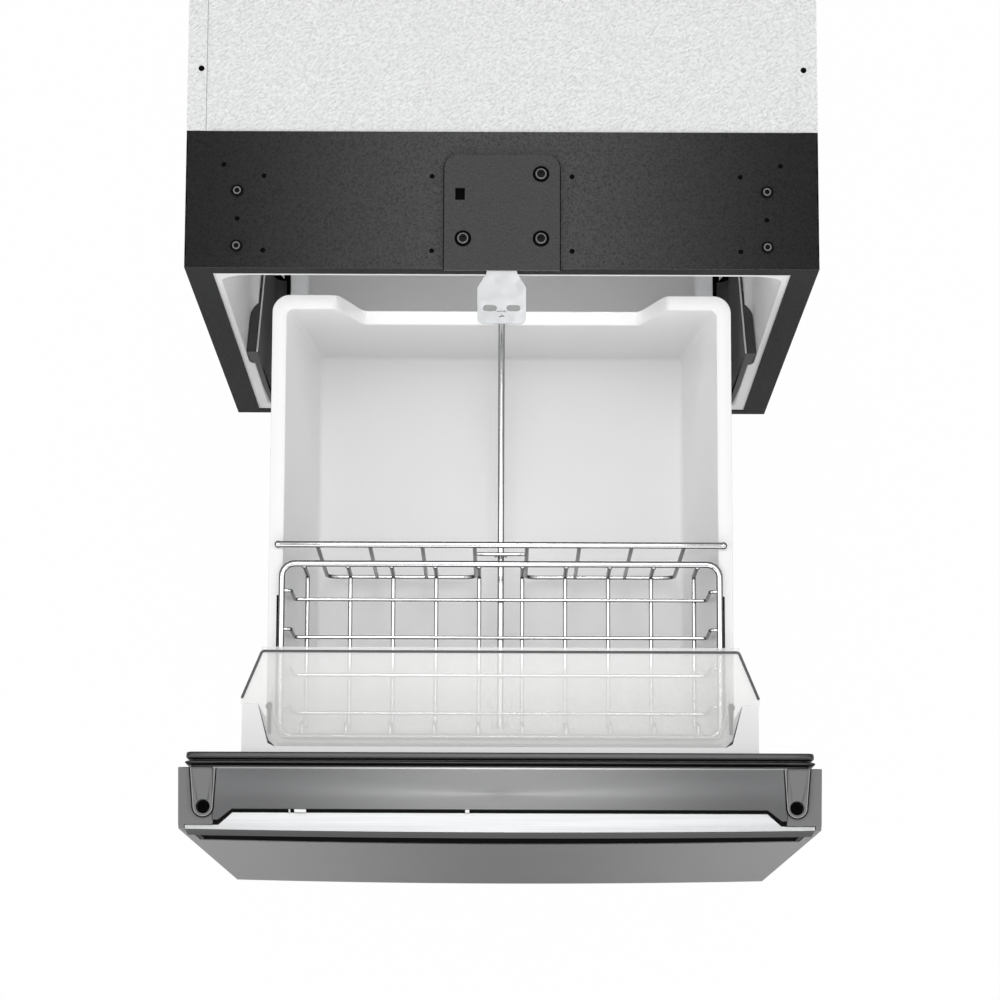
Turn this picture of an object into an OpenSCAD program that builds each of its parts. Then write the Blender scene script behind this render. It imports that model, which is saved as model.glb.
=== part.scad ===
// Undercounter pull-out refrigerator, drawn with its drawer open.
// X runs to the right as seen from the front, Y to the back, Z up from the floor.
// Every module draws in the cabinet's own place: y = 0 is the face of the front frame.
// place() then moves it, so that the origin lies on the floor under the middle of the open object.

/* [Cabinet] */
// Outside width of the cabinet
cabinet_w = 603; // [599:1:608]
// Height of the cabinet's top above the floor
cabinet_h = 870; // [860:1:890]
// Depth of the cabinet behind the face of its front frame
cabinet_d = 538; // [530:1:580]
// Thickness of the painted and galvanised sheets
sheet_t = 1; // [0.8:0.1:1.4]
// Height of the open recess below the front frame
toe_h = 174; // [168:1:180]
// Depth of that recess
toe_d = 60; // [45:1:75]
// Width of the fold of each side sheet over the top
top_fold = 19; // [14:1:26]
// Depth of the black rail across the front of the top
rail_d = 134; // [120:1:150]

/* [Front frame and liner] */
// Thickness of the black frame
frame_t = 1.5; // [1.2:0.1:2]
// Depth of the frame's returned edges
frame_return = 16; // [10:1:20]
// Width of the frame's side members
frame_side = 25; // [22:1:28]
// Height of the frame's top member
frame_top = 24; // [20:1:28]
// Height of the frame's bottom member
frame_bottom = 18; // [15:1:22]
// Width of the liner's flat lip
lip_w = 14.5; // [10:0.5:16]
// Wall of the plastic liner
liner_t = 2.5; // [2:0.1:3]
// Depth of the cooled space
liner_d = 490; // [488:1:496]
// Radius of the liner's upright and level corners
liner_r = 22; // [12:1:30]
// How much wider the liner is above its side ledge, on each side
ledge_w = 8; // [4:1:10]
// Height of the ledge below the cabinet's top
ledge_drop = 446; // [430:1:460]
// Depth of the liner's step over the compressor
step_d = 140; // [130:1:145]
// Height of that step above the liner's floor
step_h = 84; // [70:1:88]

/* [Drawer front] */
// Width of the drawer front
front_w = 597; // [595:1:602]
// Height of the front's lower edge above the floor
front_z = 114; // [105:1:125]
// Drop from the cabinet's top to the front's top
front_drop = 5; // [3:1:8]
// Thickness of the front at its sides
front_t = 56; // [52:1:62]
// How far the middle of the front stands proud of its sides
crown = 3.6; // [1:0.1:5]
// Thickness of the steel skin
skin_t = 1; // [0.8:0.1:1.5]
// Depth of the gasket
gasket_t = 14.5; // [12:0.5:16]
// Width of the gasket's face
gasket_w = 20; // [16:1:24]
// Width of each end cap
cap_w = 32; // [28:1:36]
// Height of the finger recess below the handle
scoop_h = 100; // [60:1:110]
// Depth of the finger recess
scoop_d = 26; // [20:1:30]
// Height of the handle's lip
lip_h = 37; // [30:1:42]
// How far the lip leans forward
lip_lean = 3; // [1:0.5:3]

/* [Slides] */
// Travel of the drawer
travel = 459; // [440:1:459]
// Length of each slide member
slide_l = 440; // [430:1:445]
// Height of the outer slide member
slide_h = 46; // [40:1:52]
// Thickness of the closed slide
slide_t = 19; // [17:0.5:20]
// Height of the slides' lower edge above the liner's step
slide_lift = 10; // [6:1:16]
// Distance from the liner's wall to the slide
slide_gap = 30; // [26:1:32]
// Metal thickness of the slides
slide_metal = 1.5; // [1.2:0.1:1.8]
// Running gap between the slide members
slide_play = 0.3; // [0.25:0.05:0.4]
// Thickness of the carriage plates
plate_t = 2; // [1.5:0.1:2.4]
// Length of the carriage plates
plate_l = 420; // [410:1:424]

/* [Bins] */
// Distance of the upper bin's rim below the cabinet's top
rim_drop = 60; // [58:1:66]
// Depth of the upper bin
bin_h = 223; // [222:1:230]
// Length of the upper bin over its rim
bin_l = 434; // [424:1:436]
// Wall of the bins
bin_t = 3; // [2.5:0.1:3.5]
// Width of the upper bin's rim
rim_w = 14; // [12:0.5:16]
// How far each side wall leans in on the way down
bin_lean = 21; // [10:1:26]
// Height of the notch in the rim's back
notch_h = 68; // [68:1:76]
// Width of the notch at its foot
notch_w = 272; // [240:1:290]
// Depth of the lower bin
low_bin_h = 340; // [300:1:350]
// Length of the lower bin
low_bin_l = 322; // [300:1:324]

/* [Wire work] */
// Diameter of the thick wire
rod_d = 6; // [5:0.1:6.5]
// Diameter of the thin wire
wire_d = 4; // [3:0.1:4.4]
// Length of the basket
basket_l = 165; // [150:1:166]
// Depth of the basket from rim to floor
basket_h = 62; // [54:1:62]
// Wires that run from the basket's front to its back
basket_long = 10; // [6:2:14]
// Wires that run across the basket
basket_cross = 4; // [3:1:5]
// Length of the comb's wires
comb_h = 205; // [150:1:206]
// Gap between the comb's outer wires and the walls at the bin's floor
comb_gap = 11; // [8:1:20]

/* [Counter fixing] */
// Width of the bracket on the top rail
bracket_w = 110; // [96:1:120]
// Length of the bracket
bracket_l = 113; // [104:1:118]
// Thickness of the bracket
bracket_t = 3.5; // [3:0.1:4.5]
// Thickness of the sheet of the pull-out tab
tab_t = 1.5; // [1.2:0.1:2]
// How far the tab stands in front of the frame
tab_reach = 54; // [45:1:60]
// Radius of the screw holes in the top rail
hole_r = 2.4; // [2:0.1:2.8]

/* [Hidden] */

fine = 48;
fit = 0.3;
eps = 0.01;
lip_r = 3;
arc_n = 6;

half_w = cabinet_w / 2;
frame_z = toe_h;
open_x = half_w - frame_side;
open_z0 = frame_z + frame_bottom;
open_z1 = cabinet_h - frame_top;
wall_x = open_x - lip_w;
upper_x = wall_x + ledge_w;
floor_z = open_z0 + lip_w;
ceiling_z = open_z1 - lip_w;
ledge_z = cabinet_h - ledge_drop;
step_y = liner_d - step_d;
step_z = floor_z + step_h;
foam_wall = 45;
foam_z = floor_z - foam_wall;
foam_step_y = step_y + 40;
foam_step_z = step_z - foam_wall;
pan_z = 20;
foot_r = 20;
foot_h = 14;
front_foot_y = toe_d + 26;
rear_foot_y = cabinet_d - 40;
foot_x = half_w - 40;

// The drawer front, measured forward of the frame while the drawer is open
back_y = -(travel + gasket_t + 0.5);
face_y = back_y - front_t;
front_top = cabinet_h - front_drop;
front_x = front_w / 2;
cap_x = front_x - cap_w;
lip_drop = 16;
lip_plate = 3;
cap_h = lip_drop + lip_h;
lip_top = front_top - lip_drop;
lip_foot = lip_top - lip_h;
scoop_top = lip_top - lip_plate;
scoop_foot = lip_foot - scoop_h;
scoop_y = face_y + scoop_d;
scoop_x = front_x - 9;
lip_t = 3.5;
lip_x = front_x - 6;
lip_crown = crown * 0.7;
reach = -face_y + max(crown, lip_crown + lip_lean);

slide_x1 = wall_x - slide_gap;
slide_x0 = slide_x1 - slide_t;
slide_z0 = step_z + slide_lift;
slide_z1 = slide_z0 + slide_h;
slide_y0 = 9.5;
plate_x0 = slide_x0 - plate_t;
plug_y = slide_y0 - travel - 0.5;
bin_front = plug_y + 4;
plate_y0 = plug_y + plate_t;
plate_y1 = plate_y0 + plate_l;
wing_y = plug_y + 40;
wing_x = plate_x0 + 32.5;
wing_top = cabinet_h - 50;
plug_z0 = floor_z + 12;

rim_z = cabinet_h - rim_drop;
rim_t = 3;
rim_x = slide_x0 + 8;
rim_in = rim_x - rim_w;
bin_back = bin_front + bin_l;
bin_z = rim_z - bin_h;
notch_z = rim_z - notch_h;
ramp_w = 22;
bin_r = 14;
low_rim_z = bin_z - 20;
low_z = low_rim_z - low_bin_h;
low_x = plate_x0 - 1.5;
low_front = bin_front + 6;
low_back = low_front + low_bin_l;
shelf_z = low_rim_z - 8;

rod_r = rod_d / 2;
wire_r = wire_d / 2;
rod_z = notch_z + rod_r;
basket_front = bin_front + 6;
basket_back = basket_front + basket_l;
basket_x = rim_in + 1;
basket_z = rim_z + rod_r;
basket_floor = basket_z - basket_h;
basket_r = 12;
comb_y = basket_back + 18.3;
comb_pitch = (rim_in - bin_lean - comb_gap) / 3.5;
cover_z = basket_z + rod_r + fit;
cover_t = 3;
cover_front = plug_y + fit;
cover_wide = wing_y + fit;
cover_back = cover_wide + 51;

// Points of an arc about (cx, cy)
function arc(cx, cy, r, a0, a1, n = arc_n) =
    [for (i = [0:n]) let (a = a0 + (a1 - a0) * i / n) [cx + r * cos(a), cy + r * sin(a)]];

// Rectangle with round corners
function round_rect(x0, y0, x1, y1, r, n = arc_n) = concat(
    arc(x1 - r, y1 - r, r, 0, 90, n), arc(x0 + r, y1 - r, r, 90, 180, n),
    arc(x0 + r, y0 + r, r, 180, 270, n), arc(x1 - r, y0 + r, r, 270, 360, n));

// Height of a crowned front above its chord, at x
function bulge(x, half, rise) = rise * (1 - pow(x / half, 2));

// Front edge of a crowned plan, from left to right
function crowned_edge(half, y, rise, full, n = 16) =
    [for (i = [0:n]) let (x = -half + 2 * half * i / n) [x, y - bulge(x, full, rise)]];

// Moves a module from the cabinet's place to the object's own
module place() {
    translate([0, (reach - cabinet_d) / 2, 0]) children();
}

// Extrudes a Y-Z outline along X, from x0 to x1
module along_x(x0, x1) {
    translate([x0, 0, 0]) rotate([90, 0, 90]) linear_extrude(x1 - x0) children();
}

// Extrudes an X-Z outline along Y, from y0 to y1
module along_y(y0, y1) {
    translate([0, y1, 0]) rotate([90, 0, 0]) linear_extrude(y1 - y0) children();
}

// Extrudes an X-Y outline along Z, from z0 to z1
module along_z(z0, z1) {
    translate([0, 0, z0]) linear_extrude(z1 - z0) children();
}

module box(low, high) {
    translate(low) cube(high - low);
}

// Both halves of a pair
module both() {
    children();
    mirror([1, 0, 0]) children();
}

module tube_x(x0, x1, y, z, r, n = 16) {
    translate([x0, y, z]) rotate([0, 90, 0]) cylinder(r = r, h = x1 - x0, $fn = n);
}

module tube_y(x, y0, y1, z, r, n = 16) {
    translate([x, y0, z]) rotate([-90, 0, 0]) cylinder(r = r, h = y1 - y0, $fn = n);
}

module tube_z(x, y, z0, z1, r, n = 16) {
    translate([x, y, z0]) cylinder(r = r, h = z1 - z0, $fn = n);
}

// ---------- Cabinet ----------

module front_frame() {
    color("#26272a") difference() {
        union() {
            box([-half_w, 0, frame_z], [half_w, frame_t, cabinet_h - frame_t]);
            both() box([half_w - frame_t, 0, frame_z], [half_w, frame_return, cabinet_h - rail_skirt - fit]);
            box([-half_w, 0, frame_z], [half_w, frame_return, frame_z + frame_t]);
        }
        box([-open_x, -1, open_z0], [open_x, frame_t + 1, open_z1]);
    }
}

rail_skirt = 16;
rail_slots = 5;
slot_l = 12;
slot_pitch = 25;
hole_rows = [[265.5, 101], [227, 90], [252, 48], [227, 17], [66.7, 90], [66.7, 17]];
fix_x = 252.3;
fix_y = [21, 75];

// Black rail: a flat top, two side skirts with vent slots, and rows of fixing holes
module top_front_rail() {
    top_z = cabinet_h - frame_t;
    color("#222326") difference() {
        union() {
            box([-half_w, 0, top_z], [half_w, rail_d, cabinet_h]);
            both() box([half_w - frame_t, frame_t, cabinet_h - rail_skirt], [half_w, rail_d, cabinet_h]);
        }
        for (h = hole_rows, side = [-1, 1])
            tube_z(side * h[0], h[1], top_z - 1, cabinet_h + 1, hole_r, fine);
        for (y = fix_y, side = [-1, 1])
            tube_z(side * fix_x, y, top_z - 1, cabinet_h + 1, hole_r, fine);
        for (s = bracket_screw_at) tube_z(s[0], s[1], top_z - 1, cabinet_h + 1, hole_r, fine);
        for (i = [0:rail_slots - 1])
            let (y = 12 + i * slot_pitch)
                box([-half_w - 1, y, cabinet_h - 11], [half_w + 1, y + slot_l, cabinet_h - 6]);
    }
}

// Side sheet with its toe recess, fold over the top and screw hole
module side_panel() {
    outline = [[frame_return + fit, frame_z], [toe_d, frame_z], [toe_d, pan_z], [cabinet_d, pan_z],
        [cabinet_d, cabinet_h], [rail_d + fit, cabinet_h],
        [rail_d + fit, cabinet_h - rail_skirt - fit],
        [frame_return + fit, cabinet_h - rail_skirt - fit]];
    difference() {
        union() {
            along_x(half_w - sheet_t, half_w) polygon(outline);
            box([half_w - top_fold, rail_d + fit, cabinet_h - sheet_t], [half_w, cabinet_d, cabinet_h]);
            box([half_w - top_fold, cabinet_d - sheet_t, pan_z], [half_w, cabinet_d, cabinet_h]);
        }
        tube_z(half_w - 13, rail_d + 62, cabinet_h - 3, cabinet_h + 1, hole_r, fine);
    }
}

module right_side_panel() {
    color("#e9eaec") side_panel();
}

module left_side_panel() {
    color("#e9eaec") mirror([1, 0, 0]) side_panel();
}

module top_panel() {
    z = cabinet_h - sheet_t;
    color("#eceded") difference() {
        box([-half_w + sheet_t, frame_t, z - sheet_t], [half_w - sheet_t, cabinet_d - sheet_t, z]);
        box([-half_w, 0, z - 3], [half_w, rail_d + fit, z + 1]);
    }
}

// Galvanised back with pressed ribs and the vent of the machine space
module back_panel() {
    y = cabinet_d - sheet_t;
    rib_h = sheet_t;
    color("#b9bcc0") difference() {
        union() {
            box([-half_w + sheet_t, y - sheet_t, pan_z + 4], [half_w - sheet_t, y, cabinet_h - 2 * sheet_t]);
            for (x = [-180, -60, 60, 180])
                along_z(foam_step_z + 40, cabinet_h - 60)
                    polygon([[x - 18, y - 0.4 * sheet_t], [x - 8, y + rib_h], [x + 8, y + rib_h],
                        [x + 18, y - 0.4 * sheet_t]]);
        }
        for (row = [0:7], side = [-1, 1])
            let (z = 60 + row * 20)
                box([side * 150 - 55, y - 3, z], [side * 150 + 55, y + 2, z + 8]);
        tube_y(gland_x, y - 3, y + 2, gland_z, gland_r + fit, fine);
    }
}

// Space inside the liner, grown by g; g = 0 is the cooled space itself
module liner_space(g) {
    difference() {
        union() {
            along_y(-1, liner_d + g)
                polygon(round_rect(-wall_x - g, floor_z - g, wall_x + g, ceiling_z + g, liner_r + g));
            along_y(-1, liner_d + g)
                polygon(round_rect(-upper_x - g, ledge_z - g, upper_x + g, ceiling_z + g, liner_r + g));
        }
        box([-half_w, step_y + g, floor_z - 50], [half_w, liner_d + 50, step_z - g]);
    }
}

// Round from the liner's flat lip into the tub, grown by g
module liner_mouth(g) {
    hull() {
        along_y(-eps, frame_t + eps)
            polygon(round_rect(-wall_x - lip_r - g, floor_z - lip_r - g, wall_x + lip_r + g,
                ceiling_z + lip_r + g, liner_r + g, 3));
        along_y(frame_t + lip_r, frame_t + lip_r + eps)
            polygon(round_rect(-wall_x - g, floor_z - g, wall_x + g, ceiling_z + g, liner_r + g, 3));
    }
}

module liner() {
    flange = 12;
    color("#f4f4f4") difference() {
        union() {
            intersection() {
                liner_space(liner_t);
                box([-half_w, frame_t, 0], [half_w, cabinet_d, cabinet_h]);
            }
            liner_mouth(liner_t);
            box([-open_x - flange, frame_t, open_z0 - flange],
                [open_x + flange, frame_t + liner_t, open_z1 + flange]);
        }
        liner_space(0);
        liner_mouth(0);
        box([-half_w, -2, 0], [half_w, frame_t, cabinet_h]);
    }
}

// Rigid foam that fills the walls between the sheets and the liner
module insulation_foam() {
    x = half_w - frame_t;
    y0 = frame_t + liner_t + fit;
    y1 = cabinet_d - 2 * sheet_t;
    z1 = cabinet_h - 2 * sheet_t;
    z_rail = cabinet_h - rail_skirt;
    side = [[y0, frame_z + frame_t], [toe_d, frame_z + frame_t], [toe_d, foam_z],
        [foam_step_y, foam_z], [foam_step_y, foam_step_z], [y1, foam_step_z], [y1, z1],
        [rail_d + fit, z1], [rail_d + fit, z_rail], [y0, z_rail]];
    color("#e6d9a8") difference() {
        along_x(-x, x) polygon(side);
        liner_space(liner_t + fit);
        liner_mouth(liner_t + fit);
    }
}

// Sheet under the foam, which is also the roof of the machine space
module floor_panel() {
    t = sheet_t;
    z = frame_z + frame_t;
    color("#a9adb1") along_x(-half_w + t, half_w - t) polygon([
        [frame_return + fit, z], [toe_d, z], [toe_d, foam_z], [foam_step_y, foam_z],
        [foam_step_y, foam_step_z], [cabinet_d - 2 * t, foam_step_z],
        [cabinet_d - 2 * t, foam_step_z - t], [foam_step_y + t, foam_step_z - t],
        [foam_step_y + t, foam_z - t], [toe_d - t, foam_z - t], [toe_d - t, z - t],
        [frame_return + fit, z - t]]);
}

// Pan under the machine space, with folded edges and slots for cooling air
module base_pan() {
    x = half_w - sheet_t;
    slot_y = (cond_y + 70 + comp_y - comp_r) / 2 + 8;
    color("#8d9196") difference() {
        union() {
            box([-x, toe_d, pan_z], [x, cabinet_d - 2 * sheet_t, pan_z + 1.5 * sheet_t]);
            both() box([x - 1.5 * sheet_t, toe_d, pan_z], [x, cabinet_d - 2 * sheet_t, pan_z + 24]);
            box([-x, toe_d, pan_z], [x, toe_d + 1.5 * sheet_t, foam_z - sheet_t]);
            both() box([x - 14, toe_d, pan_z], [x, toe_d + 40, foam_z - sheet_t]);
        }
        box([-x + 30, toe_d - 1, pan_z + 14], [x - 30, toe_d + 5, foam_z - 12]);
        for (i = [-3:3])
            box([i * 60 - 20, slot_y, pan_z - 1], [i * 60 + 20, slot_y + 8, pan_z + 4]);
        for (y = [front_foot_y, rear_foot_y], side = [-1, 1])
            tube_z(side * foot_x, y, pan_z - 1, pan_z + 4, foot_screw_r + fit, fine);
    }
}

// Black louvred grille that closes the recess below the front
module toe_grille() {
    x = half_w - 6;
    rows = 7;
    pitch = 13;
    blade_h = 10;
    pane = (2 * x - 27) / 3;
    half = pane / 2 - 8;
    color("#1d1e20") {
        difference() {
            box([-x, toe_d - 4, pan_z + 6], [x, toe_d, foam_z - 4]);
            for (side = [-1, 0, 1])
                box([side * pane - half, toe_d - 6, pan_z + 20],
                    [side * pane + half, toe_d + 1, pan_z + 20 + rows * pitch]);
        }
        for (side = [-1, 0, 1], row = [0:rows - 1])
            let (z = pan_z + 20 + row * pitch)
                along_x(side * pane - half - 1, side * pane + half + 1)
                    polygon([[toe_d - 3.8, z + 1], [toe_d - 0.3, z + blade_h - 2],
                        [toe_d - 0.3, z + blade_h], [toe_d - 3.8, z + 3]]);
    }
}

foot_screw_r = 5;

// Four adjustable feet: a wide pad, a hexagonal collar and a steel screw
module levelling_feet() {
    color("#3a3b3d") for (y = [front_foot_y, rear_foot_y], side = [-1, 1])
        translate([side * foot_x, y, 0]) {
            cylinder(r1 = foot_r, r2 = foot_r, h = 4, $fn = fine);
            translate([0, 0, 4 - eps]) cylinder(r = foot_r - 5, h = foot_h - 4, $fn = 6);
            cylinder(r = foot_screw_r, h = pan_z + 14, $fn = fine);
            translate([0, 0, pan_z - 6]) cylinder(r = 10, h = 6, $fn = 6);
        }
}

// ---------- Counter fixing ----------

bracket_screw_at = [[37.1, 91.7], [37.1, 28.4], [-37.1, 28.4]];
bracket_overhang = 2.4;
tab_neck = 14.5;
tab_half = 23;
slot_r = 3;
slot_x0 = 4.5;
slot_x1 = 17.6;
screw_head_r = 5.8;

module counter_bracket() {
    half = bracket_w / 2;
    y1 = bracket_l - bracket_overhang;
    plan = concat([[-half, -bracket_overhang], [half, -bracket_overhang]],
        arc(half - 13, y1 - 13, 13, 0, 90), arc(-half + 13, y1 - 13, 13, 90, 180));
    color("#232427") difference() {
        along_z(cabinet_h, cabinet_h + bracket_t) polygon(plan);
        for (s = bracket_screw_at) {
            tube_z(s[0], s[1], cabinet_h - 1, cabinet_h + bracket_t + 1, hole_r + 0.3, fine);
            tube_z(s[0], s[1], cabinet_h + bracket_t - 1.2, cabinet_h + bracket_t + 1, 8, fine);
        }
        box([-44.6, 66, cabinet_h - 1], [-35.4, 78, cabinet_h + bracket_t + 1]);
        box([-tab_neck - fit, -9, cabinet_h - 1], [tab_neck + fit, 46, cabinet_h + tab_t + fit]);
    }
}

// Galvanised tab with two slots and a half-round hole, to screw up into the counter
module counter_tab() {
    y0 = -tab_reach;
    shoulder = y0 + 35;
    neck_y = y0 + 49;
    plan = concat([[-tab_neck, 45], [-tab_neck, neck_y], [-tab_half, shoulder]],
        arc(-tab_half + 6, y0 + 6, 6, 180, 270), arc(tab_half - 6, y0 + 6, 6, 270, 360),
        [[tab_half, shoulder], [tab_neck, neck_y], [tab_neck, 45]]);
    color("#c9ccd0") difference() {
        along_z(cabinet_h, cabinet_h + tab_t) polygon(plan);
        both() {
            box([slot_x0 + slot_r, y0 + 15 - slot_r, cabinet_h - 1],
                [slot_x1 - slot_r, y0 + 15 + slot_r, cabinet_h + tab_t + 1]);
            for (x = [slot_x0 + slot_r, slot_x1 - slot_r])
                tube_z(x, y0 + 15, cabinet_h - 1, cabinet_h + tab_t + 1, slot_r, fine);
        }
        box([-4.6, y0 + 11.6, cabinet_h - 1], [4.6, y0 + 12.4, cabinet_h + tab_t + 1]);
        intersection() {
            tube_z(0, y0 + 6, cabinet_h - 1, cabinet_h + tab_t + 1, 2.6, fine);
            box([-4, y0 + 6, cabinet_h - 2], [4, y0 + 10, cabinet_h + tab_t + 2]);
        }
    }
}

// Button head with a six-lobed socket, on a short shank
module button_screw(x, y, z, shank) {
    translate([x, y, z]) difference() {
        union() {
            cylinder(r = screw_head_r, h = 1.4, $fn = fine);
            translate([0, 0, 1.4 - eps]) cylinder(r1 = screw_head_r, r2 = screw_head_r - 2, h = 1.6, $fn = fine);
            translate([0, 0, -shank]) cylinder(r = hole_r - 0.2, h = shank + eps, $fn = fine);
        }
        translate([0, 0, 1.2]) cylinder(r = 2.3, h = 3, $fn = 6);
    }
}

module bracket_screws() {
    color("#141415") for (s = bracket_screw_at)
        button_screw(s[0], s[1], cabinet_h + bracket_t - 1.2, bracket_t + 4);
}

module rail_screws() {
    color("#141415") for (y = fix_y, side = [-1, 1])
        button_screw(side * fix_x, y, cabinet_h, 12);
}

// ---------- Telescopic slides ----------

// Outer member: a channel open to the inside, fixed to its brackets
module slide_outer() {
    x0 = slide_x0 + slide_t / 2 + 0.5;
    translate([0, slide_y0, 0]) along_y(0, slide_l) polygon([
        [x0, slide_z0], [slide_x1, slide_z0], [slide_x1, slide_z1], [x0, slide_z1],
        [x0, slide_z1 - slide_metal], [slide_x1 - slide_metal, slide_z1 - slide_metal],
        [slide_x1 - slide_metal, slide_z0 + slide_metal], [x0, slide_z0 + slide_metal]]);
}

// Middle member: an I section that runs inside both channels
module slide_middle() {
    m = slide_metal;
    x0 = slide_x0 + m + slide_play;
    x1 = slide_x1 - m - slide_play;
    xm = slide_x0 + slide_t / 2;
    z0 = slide_z0 + m + slide_play;
    z1 = slide_z1 - m - slide_play;
    translate([0, slide_y0 - travel / 2, 0]) along_y(0, slide_l) polygon([
        [x0, z0], [x1, z0], [x1, z0 + m], [xm + m / 2, z0 + m], [xm + m / 2, z1 - m],
        [x1, z1 - m], [x1, z1], [x0, z1], [x0, z1 - m], [xm - m / 2, z1 - m],
        [xm - m / 2, z0 + m], [x0, z0 + m]]);
}

// Inner member: a channel open to the outside, fixed to the carriage plate
module slide_inner() {
    m = slide_metal;
    inset = 2 * (m + slide_play);
    z0 = slide_z0 + inset;
    z1 = slide_z1 - inset;
    x1 = slide_x0 + slide_t / 2 - m / 2 - slide_play;
    translate([0, slide_y0 - travel, 0]) along_y(0, slide_l) polygon([
        [slide_x0, z0], [x1, z0], [x1, z0 + m], [slide_x0 + m, z0 + m],
        [slide_x0 + m, z1 - m], [x1, z1 - m], [x1, z1], [slide_x0, z1]]);
}

module right_slide_outer() {
    color("#c4c8cc") slide_outer();
}

module left_slide_outer() {
    color("#c4c8cc") mirror([1, 0, 0]) slide_outer();
}

module right_slide_middle() {
    color("#d0d3d6") slide_middle();
}

module left_slide_middle() {
    color("#d0d3d6") mirror([1, 0, 0]) slide_middle();
}

module right_slide_inner() {
    color("#c4c8cc") slide_inner();
}

module left_slide_inner() {
    color("#c4c8cc") mirror([1, 0, 0]) slide_inner();
}

// Hat-shaped brackets that carry the outer members on the liner's walls
module slide_brackets() {
    m = slide_metal;
    wing = 16;
    foot = slide_lift - 1;
    color("#9ea2a6") for (y = [150, 370]) both()
        along_y(y, y + 60) polygon([
            [slide_x1, slide_z0], [wall_x - m, slide_z0], [wall_x - m, slide_z0 - foot],
            [wall_x, slide_z0 - foot], [wall_x, slide_z0 + m], [slide_x1 + m, slide_z0 + m],
            [slide_x1 + m, slide_z1 - m], [wall_x, slide_z1 - m], [wall_x, slide_z1 + wing],
            [wall_x - m, slide_z1 + wing], [wall_x - m, slide_z1], [slide_x1, slide_z1]]);
}

// Stamped side plate of the carriage: it stands on the inner slide and carries both bins
module carriage_plate() {
    shelf_w = 9;
    outline = [[plate_y0, slide_z0 + 4], [plate_y1, slide_z0 + 4], [plate_y1, slide_z1 + 40],
        [plate_y1 - 60, shelf_z - 60], [plate_y1 - 60, bin_z + 40], [plate_y1, bin_z + 110],
        [plate_y1, rim_z - rim_t], [plate_y0, rim_z - rim_t]];
    difference() {
        union() {
            along_x(plate_x0, slide_x0) polygon(outline);
            box([plate_x0 - 16, plate_y0 - plate_t, slide_z0 + 30],
                [plate_x0 + eps, plate_y0, shelf_z - 30]);
            box([plate_x0 - shelf_w, low_front + 10, shelf_z - plate_t],
                [plate_x0 + eps, plate_y1 - 62, shelf_z]);
            box([plate_x0, plate_y0 + 40, rim_z - rim_t - plate_t],
                [rim_x - 2, plate_y1, rim_z - rim_t]);
        }
        tube_z(bin_screw_x, bin_screw_y, rim_z - rim_t - plate_t - 1, rim_z, bin_screw_r + fit, fine);
        for (i = [0:3])
            along_x(plate_x0 - 1, slide_x0 + 1)
                polygon(round_rect(plate_y0 + 42 + i * 80, shelf_z - 144, plate_y0 + 92 + i * 80,
                    shelf_z - 44, 14, 4));
        for (i = [0:3])
            along_x(plate_x0 - 1, slide_x0 + 1)
                polygon(round_rect(plate_y0 + 42 + i * 80, rim_z - 140, plate_y0 + 92 + i * 80,
                    rim_z - 40, 14, 4));
    }
}

module right_carriage_plate() {
    color("#aeb2b6") carriage_plate();
}

module left_carriage_plate() {
    color("#aeb2b6") mirror([1, 0, 0]) carriage_plate();
}

// ---------- Cold side ----------

cover_y = liner_d - 34;
fan_r = 46;
fan_drop = 170;
fan_z = cabinet_h - fan_drop;
coil_h = 150;
fan_hub_r = 15;

// Moulded cover of the evaporator, with a fan ring and two rows of slots
module evaporator_cover() {
    evaporator_shell();
    fan_guard();
}

// Guard across the fan opening: a hub disc, a ring and six thinner spokes
module fan_guard() {
    t = 2;
    inset = 0.25;
    step = 0.2;
    color("#f1f2f2") translate([0, cover_y + inset, fan_z]) rotate([-90, 0, 0]) {
        cylinder(r = 12, h = t, $fn = fine);
        difference() {
            cylinder(r = 31, h = t, $fn = fine);
            translate([0, 0, -1]) cylinder(r = 28, h = t + 2, $fn = fine);
        }
        for (i = [0:5])
            rotate([0, 0, i * 60]) box([8, -1.5, step], [fan_r + 6, 1.5, t - step]);
    }
}

module evaporator_shell() {
    x = wall_x - 8;
    z0 = step_z + 4;
    z1 = ceiling_z - 6;
    color("#f1f2f2") difference() {
        along_y(cover_y, liner_d) polygon(round_rect(-x, z0, x, z1, 16));
        along_y(cover_y + 2.5, liner_d + 1)
            polygon(round_rect(-x + 2.5, z0 + 2.5, x - 2.5, z1 - 2.5, 14));
        tube_y(0, cover_y - 1, cover_y + 4, fan_z, fan_r + 3, fine);
        for (i = [-6:6])
            box([i * 32 - 11, cover_y - 1, z0 + 24], [i * 32 + 11, cover_y + 4, z0 + 34]);
        for (i = [-6:6])
            box([i * 32 - 11, cover_y - 1, z1 - 40], [i * 32 + 11, cover_y + 4, z1 - 30]);
    }
}

// Finned coil: upright fins on two rows of tube
module evaporator() {
    z0 = step_z + 60;
    z1 = z0 + coil_h;
    y0 = cover_y + 4;
    y1 = liner_d;
    color("#c3c8cb") {
        for (i = [-14:14]) box([i * 13 - 0.6, y0, z0], [i * 13 + 0.6, y1, z1]);
        for (row = [0:3]) tube_x(-190, 190, (y0 + y1) / 2, z0 + 20 + row * 36, 5, 16);
        both() box([188, y0, z0], [190, y1, z1]);
        both() box([190, y1 - 2, z0 + 60], [wall_x - 30, y1, z0 + 90]);
    }
}

shaft_r = 3;
shaft_l = 6;
shaft_play = 0.05;

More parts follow.
